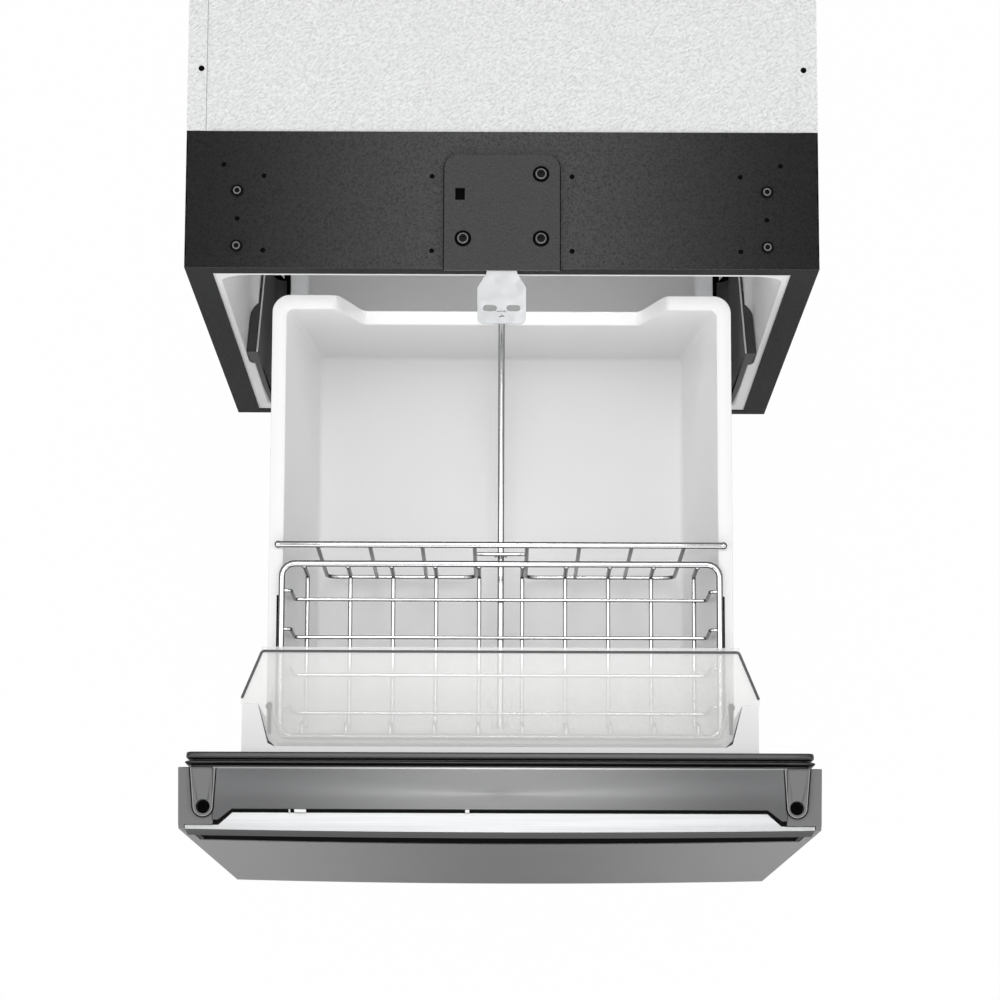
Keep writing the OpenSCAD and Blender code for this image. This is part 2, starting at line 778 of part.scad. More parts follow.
// Motor of the evaporator fan, with its shaft, on a four-armed carrier
module evaporator_fan_motor() {
    y0 = cover_y + 20;
    color("#46494d") {
        tube_y(0, y0, liner_d, fan_z, 18, fine);
        tube_y(0, y0 - shaft_l, y0 + 1, fan_z, shaft_r, fine);
        for (a = [45:90:315])
            translate([0, 0, fan_z]) rotate([0, a, 0])
                box([12, liner_d - 6, -4], [fan_r + 14, liner_d, 4]);
    }
}

// Rotor blades swept round a hub, turning about Y
module rotor(hub_r, tip_r, depth, blades) {
    rotate([-90, 0, 0]) {
        difference() {
            cylinder(r = hub_r, h = depth, $fn = fine);
            translate([0, 0, depth - shaft_l]) cylinder(r = shaft_r + shaft_play, h = shaft_l + 1, $fn = fine);
        }
        for (i = [0:blades - 1])
            rotate([0, 0, i * 360 / blades])
                translate([hub_r - 1, 0, depth / 2]) rotate([35, 0, 0])
                    linear_extrude(1.6, center = true)
                        polygon(concat([[0, -6]], arc(tip_r - hub_r - 12, 0, 12, -70, 70, 8), [[0, 6]]));
    }
}

module evaporator_fan() {
    color("#2e3033") translate([0, cover_y + 3, fan_z]) rotor(fan_hub_r, fan_r, 16.5, 5);
}

// ---------- Machine space ----------

comp_y = cabinet_d - 72;
comp_x = 120;
comp_r = 62;
comp_z = pan_z + 18;
stub_x = 46;
stub_y = 50;
stub_h = 96;

// Hermetic compressor: a drawn steel can with a welded seam, base plate and terminal cover
module compressor() {
    h = 132;
    color("#1b1c1e") translate([comp_x, comp_y, comp_z]) {
        rotate_extrude($fn = fine) polygon(concat([[0, 3]], arc(comp_r - 18, 21, 18, -90, 0),
            [[comp_r, 58], [comp_r + 3, 59], [comp_r + 3, 65], [comp_r, 66]],
            arc(comp_r - 30, h - 30, 30, 0, 90), [[0, h]]));
        difference() {
            along_z(0, 4) polygon(round_rect(-95, -52, 95, 52, 14));
            for (x = [-82, 82], y = [-40, 40]) tube_z(x, y, -1, 5, 7, fine);
        }
        box([comp_r - 4, -22, 40], [comp_r + 26, 22, 96]);
        both() tube_z(stub_x, -stub_y, 60, stub_h - 20, 8);
        both() tube_z(stub_x, -stub_y, 60, stub_h, 4);
    }
}

// Rubber grommets in the compressor's base plate, resting on the pan
module compressor_grommets() {
    color("#2b2b2b") for (x = [-82, 82], y = [-40, 40])
        translate([comp_x + x, comp_y + y, pan_z + 1.5 * sheet_t]) {
            cylinder(r = 11, h = comp_z - pan_z - 1.5 * sheet_t, $fn = fine);
            cylinder(r = 6.9, h = comp_z - pan_z + 3, $fn = fine);
        }
}

cond_y = toe_d + 90;

// Wire-and-tube condenser folded into a block on the pan
module condenser() {
    z0 = pan_z + 1.5 * sheet_t;
    h = 104;
    color("#2a2c2e") {
        for (i = [0:24]) box([-190 + i * 14, cond_y, z0], [-189 + i * 14, cond_y + 70, z0 + h]);
        for (row = [0:2], col = [0:1])
            tube_x(-191, col * row == 2 ? comp_x + stub_x : 148, cond_y + 20 + col * 30,
                z0 + 20 + row * 32, 4, 16);
        for (x = [-192, 147]) box([x, cond_y - 4, z0], [x + 1.5, cond_y + 74, z0 + h + 3]);
    }
}

cfan_y = cond_y + 100;
cfan_x = -20;
cfan_z = pan_z + 62;
cfan_r = 50;

// Square shroud with a round throat, a four-armed motor carrier and the motor
module condenser_fan_shroud() {
    color("#2f3134") {
        difference() {
            box([cfan_x - 60, cfan_y, pan_z + 1.5 * sheet_t], [cfan_x + 60, cfan_y + 22, cfan_z + 58]);
            tube_y(cfan_x, cfan_y - 1, cfan_y + 23, cfan_z, cfan_r + 2, fine);
        }
        tube_y(cfan_x, cfan_y + 20.5, cfan_y + 48, cfan_z, 17, fine);
        tube_y(cfan_x, cfan_y + 20.5 - shaft_l, cfan_y + 21, cfan_z, shaft_r, fine);
        for (a = [45:90:315])
            translate([cfan_x, 0, cfan_z]) rotate([0, a, 0])
                box([14, cfan_y + 21, -3], [cfan_r + 5, cfan_y + 24, 3]);
    }
}

module condenser_fan() {
    color("#3b3e42") translate([cfan_x, cfan_y + 2, cfan_z]) rotor(16, cfan_r, 18, 5);
}

// Tray on the compressor that dries up the melt water
module drain_pan() {
    z = comp_z + 132;
    y0 = comp_y - stub_y + 14;
    color("#dfe1e2") difference() {
        along_z(z, z + 26) polygon(round_rect(comp_x - 90, y0, comp_x + 90, comp_y + 56, 12));
        along_z(z + 2, z + 30)
            polygon(round_rect(comp_x - 88, y0 + 2, comp_x + 88, comp_y + 54, 10));
    }
}

// Housing of the control board, screwed to the pan
module control_box() {
    box_w = 120;
    box_l = 90;
    box_h = 60;
    x = 51.5 - half_w;
    y = cabinet_d - 38 - box_l;
    z0 = pan_z + 1.5 * sheet_t;
    color("#5a5e63") difference() {
        box([x, y, z0], [x + box_w, y + box_l, z0 + box_h]);
        for (i = [0:6]) box([x + 10 + i * 15, y - 1, z0 + 18], [x + 16 + i * 15, y + 1, z0 + 46]);
    }
}

gland_x = -240;
gland_z = 52;
gland_r = 8;

// Gland for the mains lead: a bush through the back panel with a collar on each side of it
module cord_gland() {
    y = cabinet_d - 2 * sheet_t;
    color("#202122") difference() {
        union() {
            tube_y(gland_x, y - 12, y, gland_z, gland_r + 3, fine);
            tube_y(gland_x, y - 1, y + 2 * sheet_t, gland_z, gland_r, fine);
            tube_y(gland_x, y + sheet_t, y + 2 * sheet_t, gland_z, gland_r + 4, fine);
        }
        tube_y(gland_x, y - 13, y + 3 * sheet_t, gland_z, gland_r - 4, fine);
    }
}

// Quarter bend of a line, in the Y-Z plane, about (y, z); a is where its arc starts
module line_bend(x, y, z, r, wire, a) {
    translate([x, y, z]) rotate([90, 0, 90]) rotate([0, 0, a]) rotate_extrude(angle = 90, $fn = fine)
        translate([r, 0]) circle(r = wire, $fn = 16);
}

// Copper lines: from the compressor to the condenser, and up into the foam to the evaporator
module refrigerant_lines() {
    r = 3;
    turn = 12;
    y0 = comp_y - stub_y;
    y1 = cond_y + 50;
    z0 = comp_z + stub_h;
    z1 = z0 + 2;
    x = comp_x + stub_x;
    color("#b87333") {
        tube_z(x, y0, z0, z1, r);
        line_bend(x, y0 - turn, z1, turn, r, 0);
        tube_y(x, y1 + turn, y0 - turn, z1 + turn, r);
        line_bend(x, y1 + turn, z1, turn, r, 90);
        tube_z(x, y1, pan_z + 1.5 * sheet_t + 88, z1, r);
        tube_z(comp_x - stub_x, y0, z0, foam_step_z - sheet_t, r);
    }
}

// ---------- Drawer front ----------

// Crowned plan of the front, grown inwards by g
function front_plan(g) = concat(crowned_edge(front_x - g, face_y + g, crown, front_x),
    [[front_x - g, back_y - 2.5], [-front_x + g, back_y - 2.5]]);

// Stainless skin: crowned face, folded sides and a folded foot
module front_panel() {
    color("#8f9193") difference() {
        along_z(front_z, front_top - cap_h) polygon(front_plan(0));
        along_z(front_z + skin_t, front_top) polygon(front_plan(skin_t));
        box([-front_x + 14, back_y - 30, front_z - 1], [front_x - 14, back_y, front_z + 2]);
        box([-scoop_x, face_y - 10, scoop_foot], [scoop_x, scoop_y, front_top]);
    }
}

// Foam core of the front
module front_foam() {
    color("#e6d9a8")
        along_z(front_z + skin_t + fit, scoop_foot - fit) polygon(front_plan(skin_t + fit));
    color("#e6d9a8") panel_core();
}

// Foam behind the finger recess, and the narrow fills at its two ends
module front_top_foam() {
    color("#e6d9a8") {
        difference() {
            box([-front_x + skin_t + fit, scoop_y + fit, scoop_foot - fit],
                [front_x - skin_t - fit, back_y - panel_t - fit, scoop_top]);
            both() box([cap_x - fit, face_y, front_top - cap_h - fit], [front_x, back_y, front_top]);
        }
        both() box([scoop_x + fit, face_y + 2 * skin_t, scoop_foot - fit],
            [front_x - skin_t - fit, scoop_y, front_top - cap_h - fit]);
    }
}

// Space inside the white plug and wings, which the foam fills
module panel_core() {
    t = panel_t;
    box([-wing_x + t, back_y - t - eps, plug_z0 + t], [wing_x - t, plug_y - t, wing_top - t]);
    both() for (z = [[plug_z0 + t, slide_z0 - notch_gap - t], [slide_z1 + notch_gap + t, wing_top - t]])
        box([wing_in + t, plug_y - t - eps, z[0]], [wing_x - t, wing_y - t, z[1]]);
}

panel_t = 2.5;
notch_gap = 6;
wing_in = slide_x0 + 15.5;
root_in = slide_x0 + 6;

// White inner panel: a flat sheet, the hollow plug that enters the cabinet and its two wings,
// which are notched where the slides pass
module front_inner_panel() {
    plan = [[-wing_x, back_y], [-wing_x, wing_y], [-wing_in, wing_y], [-root_in, plug_y + 3],
        [-root_in + 6, plug_y], [root_in - 6, plug_y], [root_in, plug_y + 3], [wing_in, wing_y],
        [wing_x, wing_y], [wing_x, back_y]];
    color("#f5f5f5") difference() {
        union() {
            box([-front_x + 1.5, back_y - panel_t + eps, front_z + 2],
                [front_x - 1.5, back_y, scoop_top]);
            along_z(plug_z0, wing_top) polygon(plan);
        }
        panel_core();
        box([-half_w, plug_y, slide_z0 - notch_gap], [half_w, wing_y + 1, slide_z1 + notch_gap]);
    }
}

// Ring round the front: outer half width, heights and depth range
module gasket_ring(grow, y0, y1) {
    x = open_x + 15.3 + grow;
    z0 = open_z0 - 16 - grow;
    z1 = open_z1 + 17 + grow;
    difference() {
        along_y(y0, y1) polygon(round_rect(-x, z0, x, z1, 6));
        along_y(y0 - 1, y1 + 1)
            polygon(round_rect(-x + gasket_w, z0 + gasket_w, x - gasket_w, z1 - gasket_w, 4));
    }
}

// Magnetic gasket: a sealing rib, a bellows groove and a foot rib
module gasket() {
    y0 = back_y;
    color("#2c2d2f") {
        gasket_ring(0, y0 + 8, y0 + gasket_t);
        gasket_ring(-4, y0 + 5 - eps, y0 + 8 + eps);
        gasket_ring(1.4, y0, y0 + 5);
    }
}

trim_edge = 38;
trim_gap = 3;
tongue_x = front_x - 50;

// Grey top trim between the end caps, sloping gently to the handle
module top_trim() {
    front = back_y - trim_edge;
    plan = [[-cap_x + fit, back_y], [-cap_x + fit, front - 13 + trim_gap],
        [-tongue_x - 13, front - 13 + trim_gap], [-tongue_x, front], [tongue_x, front],
        [tongue_x + 13, front - 13 + trim_gap], [cap_x - fit, front - 13 + trim_gap],
        [cap_x - fit, back_y]];
    color("#8a8c8e") intersection() {
        along_z(scoop_top, front_top) polygon(plan);
        along_x(-front_x, front_x) polygon([[back_y, scoop_top], [back_y, front_top],
            [back_y - 1.5, front_top], [back_y - front_t, front_top - 11], [back_y - front_t, scoop_top]]);
    }
}

cap_screw_x = front_x - 23;
cap_screw_y = back_y - 36;

// Moulded end cap with its raised tapered tab and screw recess
module end_cap() {
    z0 = front_top - cap_h;
    tab_x = cap_screw_x;
    screw_y = cap_screw_y;
    side = [[back_y, z0], [back_y, front_top - 2], [face_y + 4, front_top - 12],
        [face_y, front_top - 17], [face_y, z0]];
    difference() {
        union() {
            along_x(cap_x, front_x) polygon(side);
            intersection() {
                along_z(front_top - 14, front_top - 0.5)
                    polygon(concat([[tab_x - 11.5, back_y - 1], [tab_x - 9, screw_y]],
                        arc(tab_x, screw_y, 9, 180, 360), [[tab_x + 11.5, back_y - 1]]));
                along_x(cap_x, front_x) polygon([[back_y, z0],
                    [back_y, front_top - 0.6], [screw_y - 10, front_top - 7.5], [screw_y - 10, z0]]);
            }
        }
        tube_z(tab_x, screw_y, front_top - 16, front_top + 1, 6.5, fine);
        tube_z(tab_x, screw_y, front_top - 30, front_top + 1, 2.2, fine);
        box([cap_x - 1, face_y - 1, lip_foot - 1], [lip_x + 0.6, face_y + lip_t + 0.5, front_top + 1]);
        box([cap_x - 1, face_y - 1, z0 - 1], [scoop_x + fit, scoop_y + fit, scoop_top]);
        box([cap_x - 1, back_y - panel_t, z0 - 1], [front_x - 1.5 + fit, back_y + 1, scoop_top]);
    }
}

module right_end_cap() {
    color("#4b4d50") end_cap();
}

module left_end_cap() {
    color("#4b4d50") mirror([1, 0, 0]) end_cap();
}

module end_cap_screws() {
    color("#17181a") both()
        translate([cap_screw_x, cap_screw_y, front_top - 16 + eps]) difference() {
            union() {
                cylinder(r = 5.6, h = 3.5, $fn = fine);
                translate([0, 0, -12]) cylinder(r = 2, h = 13, $fn = fine);
            }
            translate([0, 0, 1.5]) cylinder(r = 2.4, h = 4, $fn = 6);
        }
}

// Corners of the handle's lip at x, as [y, z]: its front leans out towards the foot
function lip_section(x) = let (f = face_y - bulge(x, front_x, lip_crown)) [
    [f + lip_t, lip_top], [f, lip_top], [f - lip_lean * 0.35, lip_foot + lip_h * 0.6],
    [f - lip_lean, lip_foot + 2], [f - lip_lean + 0.8, lip_foot],
    [f - lip_lean + lip_t - 0.8, lip_foot], [f - lip_lean + lip_t, lip_foot + 2]];

// Handle: a flat top with a trapezoidal tongue, and the lip that the fingers pull on
module handle() {
    n = 16;
    front = back_y - trim_edge - trim_gap;
    sections = [for (i = [0:n]) let (x = -lip_x + 2 * lip_x * i / n)
        for (p = lip_section(x)) [x, p[0], p[1]]];
    m = len(lip_section(0));
    sides = [for (i = [0:n - 1], j = [0:m - 1]) let (k = (j + 1) % m)
        [i * m + j, (i + 1) * m + j, (i + 1) * m + k, i * m + k]];
    ends = [[for (j = [0:m - 1]) j], [for (j = [m - 1:-1:0]) n * m + j]];
    plan = concat(crowned_edge(lip_x, face_y + 1, lip_crown, front_x),
        [[lip_x, face_y + lip_t], [tongue_x + 13, face_y + lip_t], [tongue_x, front],
            [-tongue_x, front], [-tongue_x - 13, face_y + lip_t], [-lip_x, face_y + lip_t]]);
    color("#d9dadb") {
        polyhedron(sections, concat(sides, ends));
        along_z(lip_top - lip_plate, lip_top) polygon(plan);
    }
}

// Dark moulded scoop behind the lip, where the fingers go
module handle_scoop() {
    color("#101112") difference() {
        union() {
            box([-scoop_x + fit, face_y + 0.6, scoop_foot + fit], [scoop_x - fit, scoop_y, scoop_top]);
            along_z(scoop_foot + fit, scoop_foot + 2.6) polygon(concat(
                crowned_edge(scoop_x - 1, face_y + 0.8, crown, front_x),
                [[scoop_x - 1, scoop_y - 5], [-scoop_x + 1, scoop_y - 5]]));
        }
        along_x(-scoop_x + 4, scoop_x - 4) polygon([
            [face_y - 1, scoop_foot + 3], [face_y + 3, scoop_foot + 3],
            [scoop_y - 2.5, scoop_foot + 24], [scoop_y - 2.5, scoop_top - 3],
            [face_y - 1, scoop_top - 3]]);
        box([-scoop_x - 1, face_y - 1, lip_foot - 1], [scoop_x + 1, face_y + lip_t + 0.8, scoop_top + 1]);
        both() tube_z(cap_screw_x, cap_screw_y, scoop_top - 5, scoop_top + 1, 2.2, fine);
    }
}

// ---------- Upper bin ----------

// Body of a moulded bin from its rim down, shrunk by g, leaning in by lean at the sides
module bin_body(x, y0, y1, z0, z1, r, lean, g) {
    hull() {
        translate([0, 0, z1 - 0.1])
            linear_extrude(0.1) polygon(round_rect(-x + g, y0 + g, x - g, y1 - g, r));
        translate([0, 0, z0 + g])
            linear_extrude(0.1)
                polygon(round_rect(-x + lean + g, y0 + lean / 3 + g, x - lean - g, y1 - g, r));
    }
}

// Moulded bin: tapered body, flat rim, and a back rim that dips in a wide notch
module upper_bin() {
    wall_out = rim_in + bin_t;
    y0 = bin_front + rim_w - bin_t;
    y1 = bin_back - rim_w + bin_t;
    half = notch_w / 2;
    top = half + ramp_w;
    slot_y = basket_back + 31;
    color("#f6f6f6") {
      box([-8, bin_front + rim_w - 1, rod_z - rod_r - 5],
          [8, bin_front + rim_w + 14, rod_z - rod_r]);
      difference() {
        union() {
            bin_body(wall_out, y0, y1, bin_z, rim_z, bin_r, bin_lean, 0);
            along_z(rim_z - rim_t, rim_z)
                polygon(round_rect(-rim_x, bin_front, rim_x, bin_back, bin_r));
            along_y(bin_back - rim_w, bin_back) polygon([[-top - rim_t, rim_z], [-top, rim_z],
                [-half, notch_z], [half, notch_z], [top, rim_z], [top + rim_t, rim_z],
                [top + rim_t, rim_z - rim_t], [half + rim_t, notch_z - rim_t],
                [-half - rim_t, notch_z - rim_t], [-top - rim_t, rim_z - rim_t]]);
        }
        bin_body(wall_out, y0, y1, bin_z, rim_z + 0.3, bin_r, bin_lean, bin_t);
        along_y(bin_back - rim_w - 8, bin_back + 1) polygon([[-top, rim_z + 1], [-top, rim_z],
            [-half, notch_z], [half, notch_z], [top, rim_z], [top, rim_z + 1]]);
        for (side = [-1, 1]) tube_z(side * bin_screw_x, bin_screw_y, rim_z - 5, rim_z + 1, 2.9, fine);
        both() box([basket_x + rod_r + 0.2, bin_front + 20, rim_z - 5],
            [basket_x + rod_r + 2, basket_back - 30, rim_z + 1]);
      }
    }
}

bin_screw_x = rim_x - 6;
bin_screw_r = 1.9;
bin_screw_y = bin_back - 107;

// Screws that hold the upper bin's rim down on the carriage
module bin_screws() {
    color("#8b8e91") both() translate([bin_screw_x, bin_screw_y, rim_z - rim_t]) difference() {
        union() {
            cylinder(r = 2.6, h = 2.4, $fn = fine);
            translate([0, 0, -plate_t - 2]) cylinder(r = bin_screw_r, h = plate_t + 3, $fn = fine);
        }
        translate([0, 0, 1.2]) cylinder(r = 1.2, h = 2, $fn = 6);
    }
}

// Lower bin, hung by its rim on the carriage's ledges
module lower_bin() {
    wall = low_x - 10;
    color("#f3f3f3") difference() {
        union() {
            bin_body(wall, low_front + 6, low_back - 6, low_z, low_rim_z, 16, 14, 0);
            along_z(low_rim_z - rim_t, low_rim_z)
                polygon(round_rect(-low_x, low_front, low_x, low_back, 18));
            both() box([low_x - 4, low_front + 16, shelf_z], [low_x - 1, low_back - 20, low_rim_z - 1]);
        }
        bin_body(wall, low_front + 6, low_back - 6, low_z, low_rim_z + 0.3, 16, 14, bin_t);
    }
}

// ---------- Wire work ----------

// Round bar bent through a right angle, in the X-Y plane
module bend(x, y, z, r, wire, a) {
    translate([x, y, z]) rotate([0, 0, a]) rotate_extrude(angle = 90, $fn = fine)
        translate([r, 0]) circle(r = wire, $fn = 16);
}

// Rod from the notch at the back to the front wall, hooked over the rim
module centre_rod() {
    y1 = bin_back + rod_r + 0.3;
    color("#a9acae") {
        tube_y(0, bin_front + rim_w + 3, y1, rod_z, rod_r);
        translate([0, y1, rod_z]) sphere(r = rod_r, $fn = 24);
        tube_z(0, y1, notch_z - 14, rod_z, rod_r);
    }
}

// Basket: a thick rim rod with a mesh of thin wires hung from it
module wire_basket() {
    x = basket_x;
    y0 = basket_front;
    y1 = basket_back;
    r = basket_r;
    low_half = x - 9;
    drop_y = bin_front + rim_w + 5;
    cross_r = wire_r - 0.3;
    cross_z = basket_floor + wire_r + cross_r - 0.6;
    pitch_x = 2 * (low_half - 12) / (basket_long - 1);
    pitch_y = (basket_l - 18) / basket_cross;
    color("#b4b7b9") {
        tube_x(-x + r, x - r, y0, basket_z, rod_r);
        tube_x(-x + r, x - r, y1, basket_z, rod_r);
        both() tube_y(x, y0 + r, y1 - r, basket_z, rod_r);
        bend(x - r, y1 - r, basket_z, r, rod_r, 0);
        bend(-x + r, y1 - r, basket_z, r, rod_r, 90);
        bend(-x + r, y0 + r, basket_z, r, rod_r, 180);
        bend(x - r, y0 + r, basket_z, r, rod_r, 270);
        for (i = [0:basket_long - 1]) {
            px = -low_half + 12 + i * pitch_x;
            tube_y(px, drop_y, y1 - 2, basket_floor, wire_r, 12);
            tube_z(px, drop_y, basket_floor - wire_r, basket_z + wire_r, wire_r, 12);
            tube_y(px, y0, drop_y + wire_r, basket_z, wire_r, 12);
            tube_z(px, y1 - 2, basket_floor - wire_r, basket_z, wire_r, 12);
        }
        for (i = [0:basket_cross - 1]) {
            py = y1 - 26 - i * pitch_y;
            tube_x(-low_half, low_half, py, cross_z, cross_r, 12);
            both() tube_z(low_half, py, cross_z - cross_r, basket_z + cross_r, cross_r, 12);
            both() tube_x(low_half - cross_r, x, py, basket_z, cross_r, 12);
        }
    }
}

// Clear cover over the front of the basket: wide at the back, fitted between the wings in front
module clear_cover() {
    back_half = rim_x + 5;
    wide_half = wing_x + 1;
    in_back = slide_x0 + 15;
    in_front = slide_x0 + 5.5;
    plan = [[-back_half, cover_back], [-wide_half, cover_wide + 6], [-wide_half, cover_wide],
        [-in_back, cover_wide], [-in_front, cover_front + 6], [-in_front + 6, cover_front],
        [in_front - 6, cover_front], [in_front, cover_front + 6], [in_back, cover_wide],
        [wide_half, cover_wide], [wide_half, cover_wide + 6], [back_half, cover_back]];
    color("#dfe6ea") {
        along_z(cover_z, cover_z + cover_t) polygon(plan);
        box([-back_half, cover_back - eps, cover_z], [back_half, cover_back + 3, cover_z + cover_t + 1]);
    }
}

// Small dark clips that seat the cover on the bin's rim beside each wing
module cover_clips() {
    color("#2a2b2d") both() {
        box([slide_x0 + 3, plug_y + 12, rim_z], [slide_x0 + 6.5, wing_y + 2, cover_z]);
        tube_z(slide_x0 + 5, wing_y - 2, rim_z, cover_z, 3.4, fine);
    }
}

// Comb divider: a rail across the rim, two hanging combs and a saddle over the centre rod
module comb_divider() {
    rail_half = rim_x - 9;
    ball_extra = 0.5;
    rail_z = rim_z + rod_r + ball_extra + fit;
    foot_z = rail_z - comb_h;
    link_z = rail_z - 56;
    color("#b4b7b9") {
        tube_x(-rail_half, rail_half, comb_y, rail_z, rod_r);
        both() translate([rail_half, comb_y, rail_z]) sphere(r = rod_r + ball_extra, $fn = 24);
        both() {
            for (i = [0:3])
                tube_z(comb_pitch * (i + 0.5), comb_y, foot_z, rail_z - 1, wire_r, 16);
            tube_x(comb_pitch * 0.5, comb_pitch * 3.5, comb_y, foot_z, wire_r - 0.2, 16);
            tube_z(rod_r + wire_r - 0.2, comb_y, rod_z - 1, link_z, wire_r - 0.5, 16);
        }
        tube_x(-comb_pitch * 0.5, comb_pitch * 0.5, comb_y, link_z, wire_r - 0.2, 16);
    }
}

place() front_frame();
place() top_front_rail();
place() left_side_panel();
place() right_side_panel();
place() top_panel();
place() back_panel();
place() insulation_foam();
place() liner();
place() floor_panel();
place() base_pan();
place() toe_grille();
place() levelling_feet();
place() counter_bracket();
place() counter_tab();
place() bracket_screws();
place() rail_screws();
place() slide_brackets();
place() left_slide_outer();
place() right_slide_outer();
place() left_slide_middle();
place() right_slide_middle();
place() left_slide_inner();
place() right_slide_inner();
place() left_carriage_plate();
place() right_carriage_plate();
place() evaporator_cover();
place() evaporator();
place() evaporator_fan_motor();
place() evaporator_fan();
place() compressor();
place() compressor_grommets();
place() condenser();
place() condenser_fan_shroud();
place() condenser_fan();
place() drain_pan();
place() control_box();
place() cord_gland();
place() refrigerant_lines();
place() front_panel();
place() front_foam();
place() front_top_foam();
place() front_inner_panel();
place() gasket();
place() top_trim();
place() left_end_cap();
place() right_end_cap();
place() end_cap_screws();
place() handle();
place() handle_scoop();
place() upper_bin();
place() bin_screws();
place() lower_bin();
place() centre_rod();
place() wire_basket();
place() clear_cover();
place() cover_clips();
place() comb_divider();
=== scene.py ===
"""An undercounter refrigerator with its drawer pulled out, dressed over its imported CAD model."""

import math

import bpy
import numpy as np
from mathutils import Matrix, Vector


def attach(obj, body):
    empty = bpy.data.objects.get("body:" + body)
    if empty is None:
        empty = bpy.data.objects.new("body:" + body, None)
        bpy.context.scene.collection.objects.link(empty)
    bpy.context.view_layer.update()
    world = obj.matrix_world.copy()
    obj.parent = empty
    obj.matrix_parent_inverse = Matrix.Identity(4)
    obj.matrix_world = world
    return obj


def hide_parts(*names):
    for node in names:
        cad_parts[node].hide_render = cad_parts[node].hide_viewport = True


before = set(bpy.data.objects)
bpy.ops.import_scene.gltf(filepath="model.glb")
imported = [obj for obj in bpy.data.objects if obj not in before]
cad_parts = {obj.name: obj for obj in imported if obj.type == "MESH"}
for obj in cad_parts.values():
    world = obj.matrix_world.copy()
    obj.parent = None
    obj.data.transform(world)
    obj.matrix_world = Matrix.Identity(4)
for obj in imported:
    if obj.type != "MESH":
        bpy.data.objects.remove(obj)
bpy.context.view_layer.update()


# ---------------------------------------------------------------------------
# Embossed white sheets: the cabinet's sides and top.
# Pre-painted steel with an orange-peel emboss, folded over the top edges and
# held by a screw at each side.

def node_for(tree, kind, at=(0, 0), **settings):
    """Adds one shader node; settings are its attributes, or its inputs by name."""
    made = tree.nodes.new(kind)
    made.location = at
    for key, value in settings.items():
        if hasattr(made, key):
            setattr(made, key, value)
        else:
            made.inputs[key.replace("_", " ")].default_value = value
    return made


def join(tree, *wires):
    """Links nodes; a wire is a node, its output, the next node and its input."""
    for source, out, target, into in wires:
        tree.links.new(source.outputs[out], target.inputs[into])


def new_group(name, inputs, outputs):
    """A shader node group with float or colour sockets; returns it with its two end nodes."""
    tree = bpy.data.node_groups.new(name, "ShaderNodeTree")
    for label, kind, value in inputs:
        socket = tree.interface.new_socket(label, in_out="INPUT", socket_type=kind)
        socket.default_value = value
    for label, kind in outputs:
        tree.interface.new_socket(label, in_out="OUTPUT", socket_type=kind)
    start = node_for(tree, "NodeGroupInput", (-900, 0))
    end = node_for(tree, "NodeGroupOutput", (700, 0))
    return tree, start, end


def sheet_grain_group():
    """Orange-peel: two sizes of noise, turned and stretched, then added with weights. The sum
    gives height, a faint colour shift and a roughness shift."""
    tree, start, end = new_group(
        "sheet grain",
        [("Scale", "NodeSocketFloat", 300.0), ("Fine", "NodeSocketFloat", 0.35),
         ("Shade", "NodeSocketFloat", 0.03), ("Color", "NodeSocketColor", (0.8, 0.8, 0.8, 1)),
         ("Roughness", "NodeSocketFloat", 0.4), ("Gloss shift", "NodeSocketFloat", 0.05),
         ("Stretch", "NodeSocketVector", (1.0, 1.0, 1.0))],
        [("Color", "NodeSocketColor"), ("Height", "NodeSocketFloat"),
         ("Roughness", "NodeSocketFloat")])
    at = node_for(tree, "ShaderNodeTexCoord", (-1100, -300))
    turned = node_for(tree, "ShaderNodeMapping", (-900, -300), vector_type="TEXTURE",
                      Rotation=(0.0, 0.0, -0.75))
    coarse = node_for(tree, "ShaderNodeTexNoise", (-650, 150), Detail=2.0, Roughness=0.5)
    fine = node_for(tree, "ShaderNodeTexNoise", (-650, -150), Detail=3.0, Roughness=0.6)
    finer = node_for(tree, "ShaderNodeMath", (-800, -150), operation="MULTIPLY")
    finer.inputs[1].default_value = 2.7
    mix = node_for(tree, "ShaderNodeMath", (-400, 0), operation="MULTIPLY_ADD")
    mass = node_for(tree, "ShaderNodeMapRange", (-150, 150), To_Min=-1.0)
    shade = node_for(tree, "ShaderNodeMath", (50, 150), operation="MULTIPLY")
    tint = node_for(tree, "ShaderNodeMix", (300, 200), data_type="RGBA", blend_type="ADD",
                    Factor=1.0)
    rough = node_for(tree, "ShaderNodeMath", (300, -150), operation="MULTIPLY_ADD")
    join(tree, (at, "Object", turned, "Vector"), (start, "Stretch", turned, "Scale"),
         (turned, 0, coarse, "Vector"), (turned, 0, fine, "Vector"),
         (start, "Scale", coarse, "Scale"), (start, "Scale", finer, 0), (finer, 0, fine, "Scale"),
         (fine, 0, mix, 0), (start, "Fine", mix, 1), (coarse, 0, mix, 2), (mix, 0, mass, "Value"),
         (mass, 0, shade, 0), (start, "Shade", shade, 1),
         (start, "Color", tint, "A"), (shade, 0, tint, "B"),
         (mass, 0, rough, 0), (start, "Gloss shift", rough, 1), (start, "Roughness", rough, 2),
         (tint, "Result", end, "Color"), (mix, 0, end, "Height"), (rough, 0, end, "Roughness"))
    return tree


grain_group = sheet_grain_group()


def fresh_material(name, **shader):
    """A new material, its tree and its Principled shader; shader holds plain values for it."""
    made = bpy.data.materials.new(name)
    made.use_nodes = True
    surface = made.node_tree.nodes["Principled BSDF"]
    for key, value in shader.items():
        surface.inputs[key.replace("_", " ")].default_value = value
    return made, made.node_tree, surface


